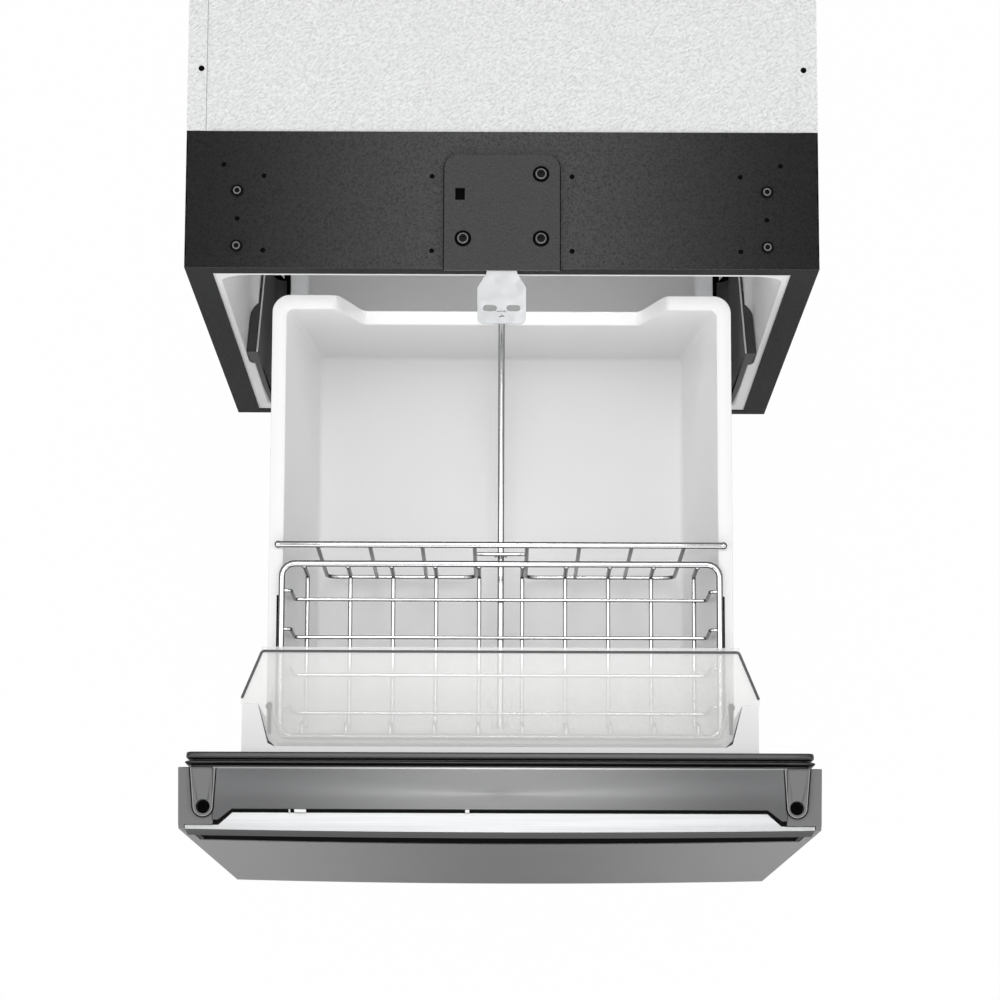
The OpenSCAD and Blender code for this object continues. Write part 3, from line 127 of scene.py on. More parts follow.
def coat(tree, surface, group, bump, **values):
    """Puts a grain group before the shader, with its own values and a bump height in metres."""
    grain = node_for(tree, "ShaderNodeGroup", (-500, 100), node_tree=group, **values)
    relief = node_for(tree, "ShaderNodeBump", (-250, -200), Strength=1.0, Distance=bump)
    join(tree, (grain, "Color", surface, "Base Color"), (grain, "Roughness", surface, "Roughness"),
         (grain, "Height", relief, "Height"), (relief, "Normal", surface, "Normal"))


def grained(name, color, roughness, scale, bump, fine=0.35, shade=0.02, gloss=0.04,
            stretch=(1.0, 1.0, 1.0), **shader):
    """A material with the sheet grain at its own scale; shader holds plain Principled values."""
    made, tree, surface = fresh_material(name, **shader)
    coat(tree, surface, grain_group, bump, Scale=scale, Fine=fine, Shade=shade, Color=(*color, 1),
         Roughness=roughness, Gloss_shift=gloss, Stretch=stretch)
    return made


def dress(material, *nodes):
    """Gives CAD nodes their finish in place of the plain one."""
    for name in nodes:
        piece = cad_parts[name]
        piece.data.materials.clear()
        piece.data.materials.append(material)


def soften(width, *nodes):
    """Rounds the sharp edges of CAD nodes a little, after their loose triangles are joined."""
    for name in nodes:
        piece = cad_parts[name]
        joined = piece.modifiers.new("join", "WELD")
        joined.merge_threshold = 0.00002
        rounded = piece.modifiers.new("edge", "BEVEL")
        rounded.width = width
        rounded.segments = 2
        rounded.limit_method = "ANGLE"
        rounded.angle_limit = math.radians(35)
        rounded.harden_normals = False


# Painted light and shade: the grain's strong colour shift on this sheet paints the emboss's relief,
# on top of its bump.
white_sheet = grained("embossed white sheet", (0.85, 0.855, 0.86), 0.36, 330, 0.0034, fine=0.30,
                      shade=0.26, gloss=0.03, stretch=(0.66, 1.25, 1.0))
dress(white_sheet, "left_side_panel", "right_side_panel", "top_panel")


# ---------------------------------------------------------------------------
# Black front frame, the rail on top of it and the counter bracket.
# Steel with a fine-textured black powder coat; the rail is drilled for
# fixings and the bracket is bolted over it.

frame_black = grained("black frame coat", (0.0110, 0.0112, 0.0118), 0.5, 420, 0.0012, fine=0.7,
                      shade=0.018, gloss=0.12, Specular_IOR_Level=0.08)
dress(frame_black, "front_frame")
rail_black = grained("black textured coat", (0.0235, 0.0238, 0.0245), 0.30, 520, 0.0012, fine=0.8,
                     shade=0.070, gloss=0.10, Specular_IOR_Level=0.14)


def dimmer(material):
    """Puts a multiply between a material's colour and its shader; returns its tree and that."""
    tree = material.node_tree
    surface = tree.nodes["Principled BSDF"]
    source = surface.inputs["Base Color"].links[0].from_socket
    shade = node_for(tree, "ShaderNodeMix", (-200, 400), data_type="RGBA", blend_type="MULTIPLY",
                     Factor=1.0)
    tree.links.new(source, shade.inputs["A"])
    join(tree, (shade, "Result", surface, "Base Color"))
    return tree, shade


def paint_highlight_falloff(material, near, far, least):
    """The coat's colour is multiplied by a smooth step of the distance from the middle, from 1 at
    near to least at far: a painted highlight in the middle, falling to painted shade at the ends."""
    tree, shade = dimmer(material)
    own = node_for(tree, "ShaderNodeTexCoord", (-900, 500))
    parts = node_for(tree, "ShaderNodeSeparateXYZ", (-700, 500))
    out_by = node_for(tree, "ShaderNodeMath", (-550, 500), operation="ABSOLUTE")
    span = node_for(tree, "ShaderNodeMapRange", (-400, 500), interpolation_type="SMOOTHSTEP",
                    From_Min=near, From_Max=far, To_Min=1.0, To_Max=least)
    join(tree, (own, "Object", parts, 0), (parts, "X", out_by, 0), (out_by, 0, span, "Value"),
         (span, 0, shade, "B"))


# Painted highlight: the rail's coat is lighter in the middle and darker toward its ends.
paint_highlight_falloff(rail_black, 0.02, 0.31, 0.22)
dress(rail_black, "top_front_rail")
bracket_black = grained("black bracket coat", (0.0300, 0.0303, 0.0310), 0.36, 420, 0.0010, fine=0.7,
                        shade=0.020, gloss=0.08, Specular_IOR_Level=0.45)
dress(bracket_black, "counter_bracket")

screw_black = grained("blackened steel", (0.003, 0.003, 0.0032), 0.30, 700, 0.00002, shade=0.001,
                      Specular_IOR_Level=0.06)
dress(screw_black, "bracket_screws", "rail_screws")

dark_screw = grained("dark plated screw", (0.045, 0.045, 0.047), 0.3, 500, 0.00002, Metallic=0.8)
dress(dark_screw, "bin_screws")


# ---------------------------------------------------------------------------
# Galvanised pieces: the counter tab, the carriage, brackets, pan and back.
# Cut from zinc-coated sheet, so they keep a dull grey spangle.

def spangled(name, color, roughness):
    """Zinc coat: crystal cells of slightly different grey, each with its own gloss."""
    made, tree, surface = fresh_material(name, Metallic=0.9)
    at = node_for(tree, "ShaderNodeTexCoord", (-900, 0))
    cells = node_for(tree, "ShaderNodeTexVoronoi", (-650, 0), Scale=160.0)
    ramp = node_for(tree, "ShaderNodeMapRange", (-400, 100), To_Min=0.86, To_Max=1.06)
    tone = node_for(tree, "ShaderNodeMix", (-150, 150), data_type="RGBA", blend_type="MULTIPLY",
                    Factor=1.0, A=(*color, 1))
    gloss = node_for(tree, "ShaderNodeMapRange", (-150, -150), To_Min=roughness - 0.06,
                     To_Max=roughness + 0.08)
    join(tree, (at, "Object", cells, "Vector"), (cells, "Color", ramp, "Value"),
         (ramp, 0, tone, "B"), (tone, "Result", surface, "Base Color"),
         (cells, "Color", gloss, "Value"), (gloss, 0, surface, "Roughness"))
    return made


zinc = spangled("galvanised sheet", (0.55, 0.56, 0.57), 0.42)
dress(zinc, "back_panel", "floor_panel", "base_pan", "slide_brackets",
      "left_carriage_plate", "right_carriage_plate")
tab_zinc = spangled("galvanised tab", (0.48, 0.49, 0.50), 0.45)
dress(tab_zinc, "counter_tab")


# ---------------------------------------------------------------------------
# White plastics: liner, evaporator cover, inner panel and drain pan.
# Vacuum-formed and moulded sheet with a soft gloss.

liner_white = grained("white liner plastic", (0.93, 0.93, 0.93), 0.5, 60, 0.00006, shade=0.004,
                      gloss=0.02, Specular_IOR_Level=0.10)
dress(liner_white, "liner", "evaporator_cover", "front_inner_panel", "drain_pan")

foam_cream = grained("rigid foam", (0.72, 0.62, 0.38), 0.85, 500, 0.0008, shade=0.04)
dress(foam_cream, "insulation_foam", "front_foam", "front_top_foam")


# ---------------------------------------------------------------------------
# Slides: roll-formed steel members, zinc plated. The outer ones are fixed to
# the liner's brackets, and the middle and inner ones telescope out of them.

slide_zinc = grained("plated slide steel", (0.80, 0.81, 0.82), 0.42, 250, 0.00003, shade=0.02,
                     Metallic=1.0)
dress(slide_zinc, "left_slide_outer", "right_slide_outer", "left_slide_middle",
      "right_slide_middle", "left_slide_inner", "right_slide_inner")


# ---------------------------------------------------------------------------
# Machine space and cold side: black steel, moulded fans and copper lines,
# seated on the base pan or behind the liner's cover, on rubber grommets.

machine_black = grained("machine black", (0.012, 0.012, 0.013), 0.38, 260, 0.0001, shade=0.004)
dress(machine_black, "compressor", "condenser", "condenser_fan_shroud", "control_box", "cord_gland",
      "toe_grille", "levelling_feet", "evaporator_fan_motor")
fan_grey = grained("moulded fan", (0.05, 0.052, 0.055), 0.45, 300, 0.00005)
dress(fan_grey, "evaporator_fan", "condenser_fan")
fin_metal = grained("fin aluminium", (0.72, 0.73, 0.74), 0.35, 400, 0.00003, Metallic=1.0)
dress(fin_metal, "evaporator")
copper = grained("drawn copper", (0.72, 0.34, 0.16), 0.3, 300, 0.00003, Metallic=1.0)
dress(copper, "refrigerant_lines")
grommet = grained("grommet rubber", (0.02, 0.02, 0.02), 0.7, 300, 0.0001)
dress(grommet, "compressor_grommets")


# ---------------------------------------------------------------------------
# Drawer front: brushed stainless skin, grey trim and end caps, brushed
# handle with a dark moulded scoop behind it.

def brushed_group():
    """Fine scratches: noise stretched hundreds of times along X. The tone goes from the middle's
    colour to the sides' colour by a smooth step of the distance from the middle, a painted
    reflection across the width."""
    tree, start, end = new_group(
        "brushed grain",
        [("Color", "NodeSocketColor", (0.6, 0.6, 0.6, 1)),
         ("Side color", "NodeSocketColor", (0.6, 0.6, 0.6, 1)),
         ("Half width", "NodeSocketFloat", 0.3), ("Roughness", "NodeSocketFloat", 0.3),
         ("Spread", "NodeSocketFloat", 0.06), ("Shade", "NodeSocketFloat", 0.05)],
        [("Color", "NodeSocketColor"), ("Roughness", "NodeSocketFloat"),
         ("Height", "NodeSocketFloat")])
    at = node_for(tree, "ShaderNodeTexCoord", (-900, -300))
    stretch = node_for(tree, "ShaderNodeMapping", (-720, -300), Scale=(6.0, 2600.0, 2600.0))
    lines = node_for(tree, "ShaderNodeTexNoise", (-520, -200), Scale=1.0, Detail=3.0, Roughness=0.7)
    slow = node_for(tree, "ShaderNodeTexNoise", (-520, 100), Scale=3.0, Detail=1.0)
    centred = node_for(tree, "ShaderNodeMapRange", (-300, -200), To_Min=-1.0)
    shade = node_for(tree, "ShaderNodeMath", (-100, 0), operation="MULTIPLY")
    tint = node_for(tree, "ShaderNodeMix", (100, 100), data_type="RGBA", blend_type="ADD",
                    Factor=1.0)
    rough = node_for(tree, "ShaderNodeMath", (100, -200), operation="MULTIPLY_ADD")
    parts = node_for(tree, "ShaderNodeSeparateXYZ", (-720, 400))
    out_by = node_for(tree, "ShaderNodeMath", (-520, 400), operation="ABSOLUTE")
    span = node_for(tree, "ShaderNodeMapRange", (-300, 400), interpolation_type="SMOOTHSTEP")
    sides = node_for(tree, "ShaderNodeMix", (-80, 400), data_type="RGBA")
    join(tree, (at, "Object", parts, 0), (parts, "X", out_by, 0), (out_by, 0, span, "Value"),
         (start, "Half width", span, "From Max"), (span, 0, sides, "Factor"),
         (start, "Color", sides, "A"), (start, "Side color", sides, "B"),
         (at, "Object", stretch, "Vector"), (stretch, 0, lines, "Vector"),
         (at, "Object", slow, "Vector"), (lines, 0, centred, "Value"),
         (centred, 0, shade, 0), (start, "Shade", shade, 1),
         (sides, "Result", tint, "A"), (shade, 0, tint, "B"),
         (slow, 0, rough, 0), (start, "Spread", rough, 1), (start, "Roughness", rough, 2),
         (tint, "Result", end, "Color"), (rough, 0, end, "Roughness"), (lines, 0, end, "Height"))
    return tree


brush_group = brushed_group()


def brushed(name, color, painted_side_tone, roughness, half=0.3, shade=0.05, edge=1.0):
    """Brushed metal: the scratches run along X, and its tone changes toward the sides as a painted
    reflection. It reflects less at a glancing angle where edge is under 1."""
    made, tree, surface = fresh_material(name, Metallic=1.0, Anisotropic=0.5,
                                         Specular_Tint=(edge, edge, edge, 1))
    coat(tree, surface, brush_group, 0.00002, Color=(*color, 1), Side_color=(*painted_side_tone, 1),
         Half_width=half, Roughness=roughness, Shade=shade)
    return made


# Painted reflection: the face is darker in the middle and lighter toward its sides.
steel_face = brushed("brushed stainless face", (0.170, 0.171, 0.172), (0.40, 0.402, 0.405), 0.34,
                     half=0.28, shade=0.012, edge=0.55)
dress(steel_face, "front_panel")
# Painted highlight: the trim is lighter in the middle and darker toward its ends.
steel_trim = brushed("brushed grey trim", (0.45, 0.452, 0.455), (0.185, 0.187, 0.19), 0.36,
                     half=0.24, shade=0.012)
dress(steel_trim, "top_trim")
handle_bright = brushed("brushed handle", (0.50, 0.505, 0.51), (0.50, 0.505, 0.51), 0.38,
                        shade=0.15, edge=0.55)


def paint_front_reflection(material, rest):
    """Painted reflection: faces that look forward reflect the dark side of a room, so by how far
    their own normal points along -Y, their colour goes down to the rest that is given."""
    tree, shade = dimmer(material)
    own = node_for(tree, "ShaderNodeTexCoord", (-900, 500))
    parts = node_for(tree, "ShaderNodeSeparateXYZ", (-700, 500))
    forward = node_for(tree, "ShaderNodeMapRange", (-500, 500), interpolation_type="SMOOTHSTEP",
                       From_Min=-0.25, From_Max=-0.7)
    shade.inputs["B"].default_value = (rest, rest, rest, 1)
    join(tree, (own, "Normal", parts, 0), (parts, "Y", forward, "Value"),
         (forward, 0, shade, "Factor"))


# Painted reflection: the handle's forward faces are darker.
paint_front_reflection(handle_bright, 0.17)
dress(handle_bright, "handle")
cap_grey = grained("moulded grey cap", (0.175, 0.176, 0.178), 0.46, 500, 0.00006, shade=0.004,
                   Specular_IOR_Level=0.3)
dress(cap_grey, "left_end_cap", "right_end_cap")
soften(0.0008, "left_end_cap", "right_end_cap")
socket_black = grained("socket black", (0.002, 0.002, 0.002), 0.6, 500, 0.00004, shade=0.0006,
                       Specular_IOR_Level=0.03)
dress(socket_black, "end_cap_screws")
scoop_black = grained("scoop black", (0.0025, 0.0025, 0.0025), 0.6, 500, 0.00005, shade=0.001,
                      Specular_IOR_Level=0.2)
dress(scoop_black, "handle_scoop", "cover_clips")


# ---------------------------------------------------------------------------
# Upper bin: one injection moulding in white plastic, screwed to the carriage
# through its rim. The rim is flat and drops to a lower sill at the back; the
# walls lean in to a floor with a soft corner all round.

bin_white = grained("white bin plastic", (0.922, 0.922, 0.922), 0.30, 40, 0.00004, shade=0.003,
                    gloss=0.02, Specular_IOR_Level=0.22)
dress(bin_white, "lower_bin")

# The frame's origin is midway between the front's face and the cabinet's back.
front_reach, cabinet_depth = 0.53552, 0.538
place_y = (front_reach - cabinet_depth) / 2


def rounded_loops(half_x, near, far, radius, along=150, across=60, turn=10):
    """Points round stacked rectangles with round corners, one row for each set of sizes.
    A point is its corner's centre plus the radius times its outward direction. On a straight
    side the direction stays and the centre slides from one corner to the next."""
    sizes = [np.atleast_1d(np.asarray(v, float)) for v in (half_x, near, far, radius)]
    half_x, near, far, radius = np.broadcast_arrays(*sizes)
    angle, first, second, share = [], [], [], []
    for corner in range(4):
        steps = along if corner % 2 == 0 else across
        angle += [np.linspace(corner, corner + 1, turn + 1), np.full(steps, corner + 1.0)]
        first += [np.full(turn + 1 + steps, corner)]
        second += [np.full(turn + 1 + steps, (corner + 1) % 4)]
        share += [np.zeros(turn + 1), np.linspace(0, 1, steps + 2)[1:-1]]
    angle, first, second, share = map(np.concatenate, (angle, first, second, share))
    angle = angle * np.pi / 2
    centre_x = (half_x - radius)[:, None] * np.array([1, -1, -1, 1])
    centre_y = np.stack([far - radius, far - radius, near + radius, near + radius], 1)
    reach = radius[:, None]
    x = centre_x[:, first] * (1 - share) + centre_x[:, second] * share + reach * np.cos(angle)
    y = centre_y[:, first] * (1 - share) + centre_y[:, second] * share + reach * np.sin(angle)
    return x, y


def closed_grid(grid, loop=False):
    """Vertices and faces of a grid of rings: columns always join up, and rows either join in a
    loop or end in a pole at the middle of the first and last ring."""
    rows, columns, _ = grid.shape
    verts = grid.reshape(-1, 3)
    number = np.arange(rows * columns).reshape(rows, columns)
    if loop:
        number = np.vstack([number, number[:1]])
    beside = np.roll(number, -1, 1)
    quads = np.stack([number[:-1], beside[:-1], beside[1:], number[1:]], -1).reshape(-1, 4)
    tris = np.zeros((0, 3), int)
    if not loop:
        verts = np.vstack([verts, grid[0].mean(0), grid[-1].mean(0)])
        low, high = rows * columns, rows * columns + 1
        tris = np.vstack([
            np.stack([beside[0], number[0], np.full(columns, low)], -1),
            np.stack([number[-1], beside[-1], np.full(columns, high)], -1)])
    return verts, quads, tris


def new_piece(name, surfaces, material, body, sharp=30.0):
    """One object in metres from (vertices, quads, triangles) in millimetres. Its faces are turned
    outward by the sign of the enclosed volume, and it rides on a body."""
    verts, faces, base = [], [], 0
    for points, quads, tris in surfaces:
        a, b, c, d = (points[quads[:, k]] for k in range(4))
        volume = np.einsum("ij,ij->", a, np.cross(b, c)) + np.einsum("ij,ij->", a, np.cross(c, d))
        if len(tris):
            a, b, c = (points[tris[:, k]] for k in range(3))
            volume += np.einsum("ij,ij->", a, np.cross(b, c))
        step = -1 if volume < 0 else 1
        faces += (quads[:, ::step] + base).tolist() + (tris[:, ::step] + base).tolist()
        verts.append(points)
        base += len(points)
    mesh = bpy.data.meshes.new(name)
    placed = np.vstack(verts) * 0.001 + np.array([0, place_y, 0])
    mesh.from_pydata(placed.tolist(), [], faces)
    mesh.polygons.foreach_set("use_smooth", np.ones(len(faces), bool))
    mesh.set_sharp_from_angle(angle=math.radians(sharp))
    mesh.materials.append(material)
    piece = bpy.data.objects.new(name, mesh)
    bpy.context.scene.collection.objects.link(piece)
    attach(piece, body)
    return piece


def upper_bin_surface():
    """A section run round the bin: under the floor, up the outside, over the rim and down the
    inside. Its sides come in by 21 mm and its front by 7 mm from the rim to the floor; at the back
    the height falls by 68 mm between two ramps, each softened over 8 mm."""
    half_width, front, back, rim_under, deep = 210, -435, -23, 807, 217
    side_lean, front_lean = 21, 7
    turn = np.linspace(0, np.pi / 2, 7)[:, None]
    outside = np.vstack([[[60, 587], [20, 587]],
                         np.hstack([6 * (1 - np.sin(turn)), 593 - 6 * np.cos(turn)]),
                         [[0, 640], [0, 720], [0, 806]]])
    rim = np.array([[-0.3, 807], [-10.4, 807], [-11, 807.4], [-11, 808.9], [-10.6, 809.7],
                    [-9.8, 810], [1.6, 810], [2.5, 809.7], [2.9, 809.1], [3.0, 807.5]])
    inside = np.vstack([[[3, 800], [3, 720], [3, 640]],
                        np.hstack([7 - 4 * np.cos(turn), 594 - 4 * np.sin(turn)]),
                        [[24, 590], [60, 590], [110, 590]]])
    # Columns: inset from the wall's outside, and height
    section = np.vstack([outside, rim, inside])
    inset, height = section[:, 0], section[:, 1]
    drawn_in = np.clip((rim_under - height) / deep, 0, 1.014)
    half_x = half_width - side_lean * drawn_in - inset
    near = front + front_lean * drawn_in + inset
    far = back - inset
    corner = np.concatenate([np.full(len(outside), 12.0), np.full(6, 17.0), np.full(4, 7.0),
                             np.full(len(inside), 5.0)])
    x, y = rounded_loops(half_x, near, far, corner)
    # The ramp from sill to rim, 22 wide, averaged over 4 to each side
    sill_half, ramp, soft, fall = 136, 22, 4, 68
    over = np.abs(x) - sill_half
    below, above = over - soft, over + soft
    area = (np.clip(above, 0, ramp) ** 2 / 2 + ramp * np.maximum(above - ramp, 0)
            - np.clip(below, 0, ramp) ** 2 / 2 - ramp * np.maximum(below - ramp, 0))
    at_back = y > -60
    drop = fall * (1 - area / (2 * soft * ramp)) * at_back
    # The wall above 605 takes its part of the fall, all of it from 795 up
    share = np.clip((height - 605) / 190, 0, 1)[:, None]
    z = height[:, None] - drop * share
    return closed_grid(np.stack([x, y, z], -1))


def rod_ledge_surface():
    """A small block with rounded top corners, an arch section swept through the wall's depth."""
    half_x, half_z, middle, square, steps = 8, 2.5, 739.4, 0.35, 40
    angle = np.linspace(0, 2 * np.pi, steps, endpoint=False)
    x = half_x * np.sign(np.cos(angle)) * np.abs(np.cos(angle)) ** square
    z = half_z * np.sign(np.sin(angle)) * np.abs(np.sin(angle)) ** square
    y = np.array([-430.5, -418.6, -418.0, -417.9])
    shrink = np.array([1, 1, 0.96, 0.85])[:, None]
    grid = np.stack([x * shrink, np.repeat(y[:, None], steps, 1), middle + z * shrink], -1)
    return closed_grid(grid)


upper_bin = new_piece("upper_bin_moulding", [upper_bin_surface(), rod_ledge_surface()],
                      bin_white, "drawer", sharp=28)
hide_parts("upper_bin")


# ---------------------------------------------------------------------------
# Wire basket: steel wires bent and welded to a rim rod, then chromed. Long
# wires hang from the rim at the front and stand up to it at the back; cross
# wires lie on them and hook over the rim at both sides.

def chrome(name):
    """Bright plating with a painted reflection: its colour is white where it faces the eye and dark
    where the wire turns away.
    """
    made, tree, surface = fresh_material(name, Metallic=1.0)
    turned = node_for(tree, "ShaderNodeLayerWeight", (-900, 200), Blend=0.5)
    edge = node_for(tree, "ShaderNodeValToRGB", (-650, 200))
    bright, dark = edge.color_ramp.elements
    bright.position, bright.color = 0.09, (0.92, 0.92, 0.93, 1)
    dark.position, dark.color = 0.42, (0.05, 0.05, 0.052, 1)
    at = node_for(tree, "ShaderNodeTexCoord", (-900, -150))
    cloud = node_for(tree, "ShaderNodeTexNoise", (-650, -150), Scale=90.0, Detail=2.0)
    gloss = node_for(tree, "ShaderNodeMapRange", (-350, -150), To_Min=0.12, To_Max=0.26)
    join(tree, (turned, "Facing", edge, "Fac"), (edge, "Color", surface, "Base Color"),
         (at, "Object", cloud, "Vector"), (cloud, 0, gloss, "Value"),
         (gloss, 0, surface, "Roughness"))
    return made


wire_painted_reflection = chrome("chromed wire")


def bent_path(corners, bend, turn=6):
    """Straight runs between corner points, each corner swept by an arc that touches both runs."""
    corners = np.asarray(corners, float)
    parts = [corners[:1]]
    for before, here, after in zip(corners[:-2], corners[1:-1], corners[2:]):
        run_in = (here - before) / np.linalg.norm(here - before)
        run_out = (after - here) / np.linalg.norm(after - here)
        angle = math.acos(float(np.clip(run_in @ run_out, -1, 1)))
        reach = min(bend * math.tan(angle / 2), 0.48 * np.linalg.norm(here - before),
                    0.48 * np.linalg.norm(after - here))
        radius = reach / math.tan(angle / 2)
        inward = run_out - (run_in @ run_out) * run_in
        inward /= np.linalg.norm(inward)
        sweep = np.linspace(0, angle, turn + 1)[:, None]
        centre = here - run_in * reach + inward * radius
        parts.append(centre + radius * (run_in * np.sin(sweep) - inward * np.cos(sweep)))
    parts.append(corners[-1:])
    return np.vstack(parts)


def rod_surface(path, radius, flat, sides=14, closed=False):
    """A round rod along a path that lies in one plane, whose normal is flat. A ring's points are
    the path's point plus radius times (normal cos a + sideways sin a). Open ends are domes."""
    path = np.asarray(path, float)
    flat = np.asarray(flat, float)
    if closed:
        along = np.roll(path, -1, 0) - np.roll(path, 1, 0)
    else:
        along = np.gradient(path, axis=0)
    along /= np.linalg.norm(along, axis=1, keepdims=True)
    radii = np.full(len(path), float(radius))
    if not closed:
        dome = np.linspace(0, np.pi / 2, 5)[1:]
        path = np.vstack([path[0] - along[0] * radius * np.sin(dome[::-1, None]), path,
                          path[-1] + along[-1] * radius * np.sin(dome[:, None])])
        along = np.vstack([np.repeat(along[:1], 4, 0), along, np.repeat(along[-1:], 4, 0)])
        radii = np.concatenate([radius * np.cos(dome[::-1]), radii, radius * np.cos(dome)])
        radii = np.maximum(radii, 0.02)
    sideways = np.cross(along, flat)
    angle = np.linspace(0, 2 * np.pi, sides, endpoint=False)
    ring = flat * np.cos(angle)[:, None]
    grid = path[:, None] + radii[:, None, None] * (
        ring[None] + sideways[:, None] * np.sin(angle)[None, :, None])
    return closed_grid(grid, loop=closed)


def ball_surface(centre, radius, sides=16):
    """A ball, rings from pole to pole."""
    turn = np.linspace(0.02, np.pi - 0.02, 11)[:, None]
    angle = np.linspace(0, 2 * np.pi, sides, endpoint=False)
    grid = np.stack([np.sin(turn) * np.cos(angle), np.sin(turn) * np.sin(angle),
                     np.cos(turn) * np.ones_like(angle)], -1)
    return closed_grid(np.asarray(centre, float) + radius * grid)


def basket_surfaces():
    """The rim is a closed rod round a rounded rectangle; ten long wires and four cross wires are
    bent rods, each in an upright plane."""
    rim_z, floor_z, front, back, reach, half_x = 813.0, 751.0, -427, -277, 207, 199
    cross_z = floor_z + 3.1
    rim_x, rim_y = rounded_loops(208, -440, -275, 12, along=24, across=12, turn=8)
    rim = np.stack([rim_x[0], rim_y[0], np.full(rim_x.shape[1], rim_z)], -1)
    pieces = [rod_surface(rim, 3, (0, 0, 1), sides=18, closed=True)]
    for place in np.linspace(-187, 187, 10):
        wire = [(place, front - 12, rim_z), (place, front, rim_z), (place, front, floor_z),
                (place, back, floor_z), (place, back, rim_z - 1)]
        pieces.append(rod_surface(bent_path(wire, 4), 2, (1, 0, 0)))
        pieces.append(ball_surface((place, back - 0.2, rim_z - 1.5), 2.7))
    for place in -301 - 36.75 * np.arange(4):
        wire = [(-reach, place, rim_z), (-half_x, place, rim_z), (-half_x, place, cross_z),
                (half_x, place, cross_z), (half_x, place, rim_z), (reach, place, rim_z)]
        pieces.append(rod_surface(bent_path(wire, 4), 1.7, (0, 1, 0)))
    return pieces


basket = new_piece("wire_basket_bent", basket_surfaces(), wire_painted_reflection, "drawer", sharp=60)
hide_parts("wire_basket")


# ---------------------------------------------------------------------------
# Comb divider: a chromed rod that rests across the bin's rim on two ball ends,
# with bent hairpins of wire welded under it and a short link that straddles
# the centre rod. It slides along the bin.

def comb_surfaces():
    """The rail is a straight rod with a ball at each end; the hairpins are bent rods in the rail's
    plane, mirrored."""
    across, rail_z, weld_z, foot_z, link_z = -256.7, 813.8, 811.5, 608.8, 757.8
    rail_half, hairpin = 212, 1.95
    rail = np.stack([np.linspace(-rail_half, rail_half, 9), np.full(9, across),
                     np.full(9, rail_z)], -1)
    pieces = [rod_surface(rail, 3, (0, 0, 1), sides=18)]
    for side in (-1, 1):
        pieces.append(ball_surface((side * rail_half, across, rail_z), 3.5))
        outer = [(side * 25, across, weld_z), (side * 25, across, foot_z),
                 (side * 175, across, foot_z), (side * 175, across, weld_z)]
        pieces.append(rod_surface(bent_path(outer, 12, turn=10), hairpin, (0, 1, 0)))
        for place in (75, 125):
            inner = [(side * place, across, z) for z in (weld_z, 700, foot_z)]
            pieces.append(rod_surface(inner, hairpin, (0, 1, 0)))
        prong = [(side * 4.8, across, z) for z in (745, 751, link_z)]
        pieces.append(rod_surface(prong, 1.5, (0, 1, 0)))
    link = np.stack([np.linspace(-25, 25, 5), np.full(5, across), np.full(5, link_z)], -1)
    pieces.append(rod_surface(link, 1.8, (0, 0, 1)))
    return pieces


comb = new_piece("comb_divider_bent", comb_surfaces(), wire_painted_reflection, "divider", sharp=60)
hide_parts("comb_divider")


# ---------------------------------------------------------------------------
# Centre rod: a chromed rod from a ledge on the bin's front wall to the back,
# where it turns down over the sill.

hooked = [(0, -429, 745), (0, -8.7, 745), (0, -8.7, 729.5)]
rod = new_piece("centre_rod_bent", [rod_surface(bent_path(hooked, 3.2), 3, (1, 0, 0), sides=18)],
                wire_painted_reflection, "drawer", sharp=60)
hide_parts("centre_rod")


# ---------------------------------------------------------------------------
# Gasket: extruded black vinyl with a ribbed bellows and a flat sealing face,
# welded at its four corners and pushed on to the drawer's inner panel.

gasket_black = grained("gasket vinyl", (0.0040, 0.0040, 0.0044), 0.34, 300, 0.00004,
                      shade=0.0015, Specular_IOR_Level=0.9)


def gasket_surface():
    """A ribbed section carried round a rounded rectangle in the upright plane. The section's
    corners are cut twice at a quarter of each side, which rounds them."""
    # Columns: inset from the seal's outline, and place along the depth
    section = np.array([
        [4.6, -474], [4.6, -471.2], [0.4, -470.6], [-1.0, -469.6], [-1.0, -468.6], [0.4, -467.9],
        [6.2, -467.4], [6.2, -466.2], [0.4, -465.8], [0.0, -463.0], [0.6, -459.7], [1.8, -459.5],
        [17.8, -459.5], [20, -462.6], [19.6, -465.8], [13.8, -466.2], [13.8, -467.4],
        [19.8, -468.0], [20.6, -469.2], [15.4, -471.2], [15.4, -474]])
    for _ in range(2):
        after = np.roll(section, -1, 0)
        cut = [section * 0.75 + after * 0.25, section * 0.25 + after * 0.75]
        section = np.stack(cut, 1).reshape(-1, 2)
    inset, depth = section[:, 0], section[:, 1]
    x, z = rounded_loops(291.8 - inset, 176.0 + inset, 863.0 - inset,
                         np.maximum(6 - inset * 0.2, 1.5), along=40, across=40, turn=6)
    y = np.repeat(depth[:, None], x.shape[1], 1)
    return closed_grid(np.stack([x, y, z], -1), loop=True)


gasket = new_piece("gasket_ribbed", [gasket_surface()], gasket_black, "drawer", sharp=50)
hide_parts("gasket")


# ---------------------------------------------------------------------------
# Small trim on the drawer front: round the moulded edge of the tapered tab of each
# end cap, a dark line of painted shade and a light line of painted highlight; and the white
# clips that show in the gap behind the handle.

cap_line_highlight = grained("cap line painted highlight", (0.32, 0.322, 0.325), 0.4, 500, 0.00004, shade=0.01)
clip_white = grained("white clip", (0.86, 0.86, 0.86), 0.4, 120, 0.00004, shade=0.004)


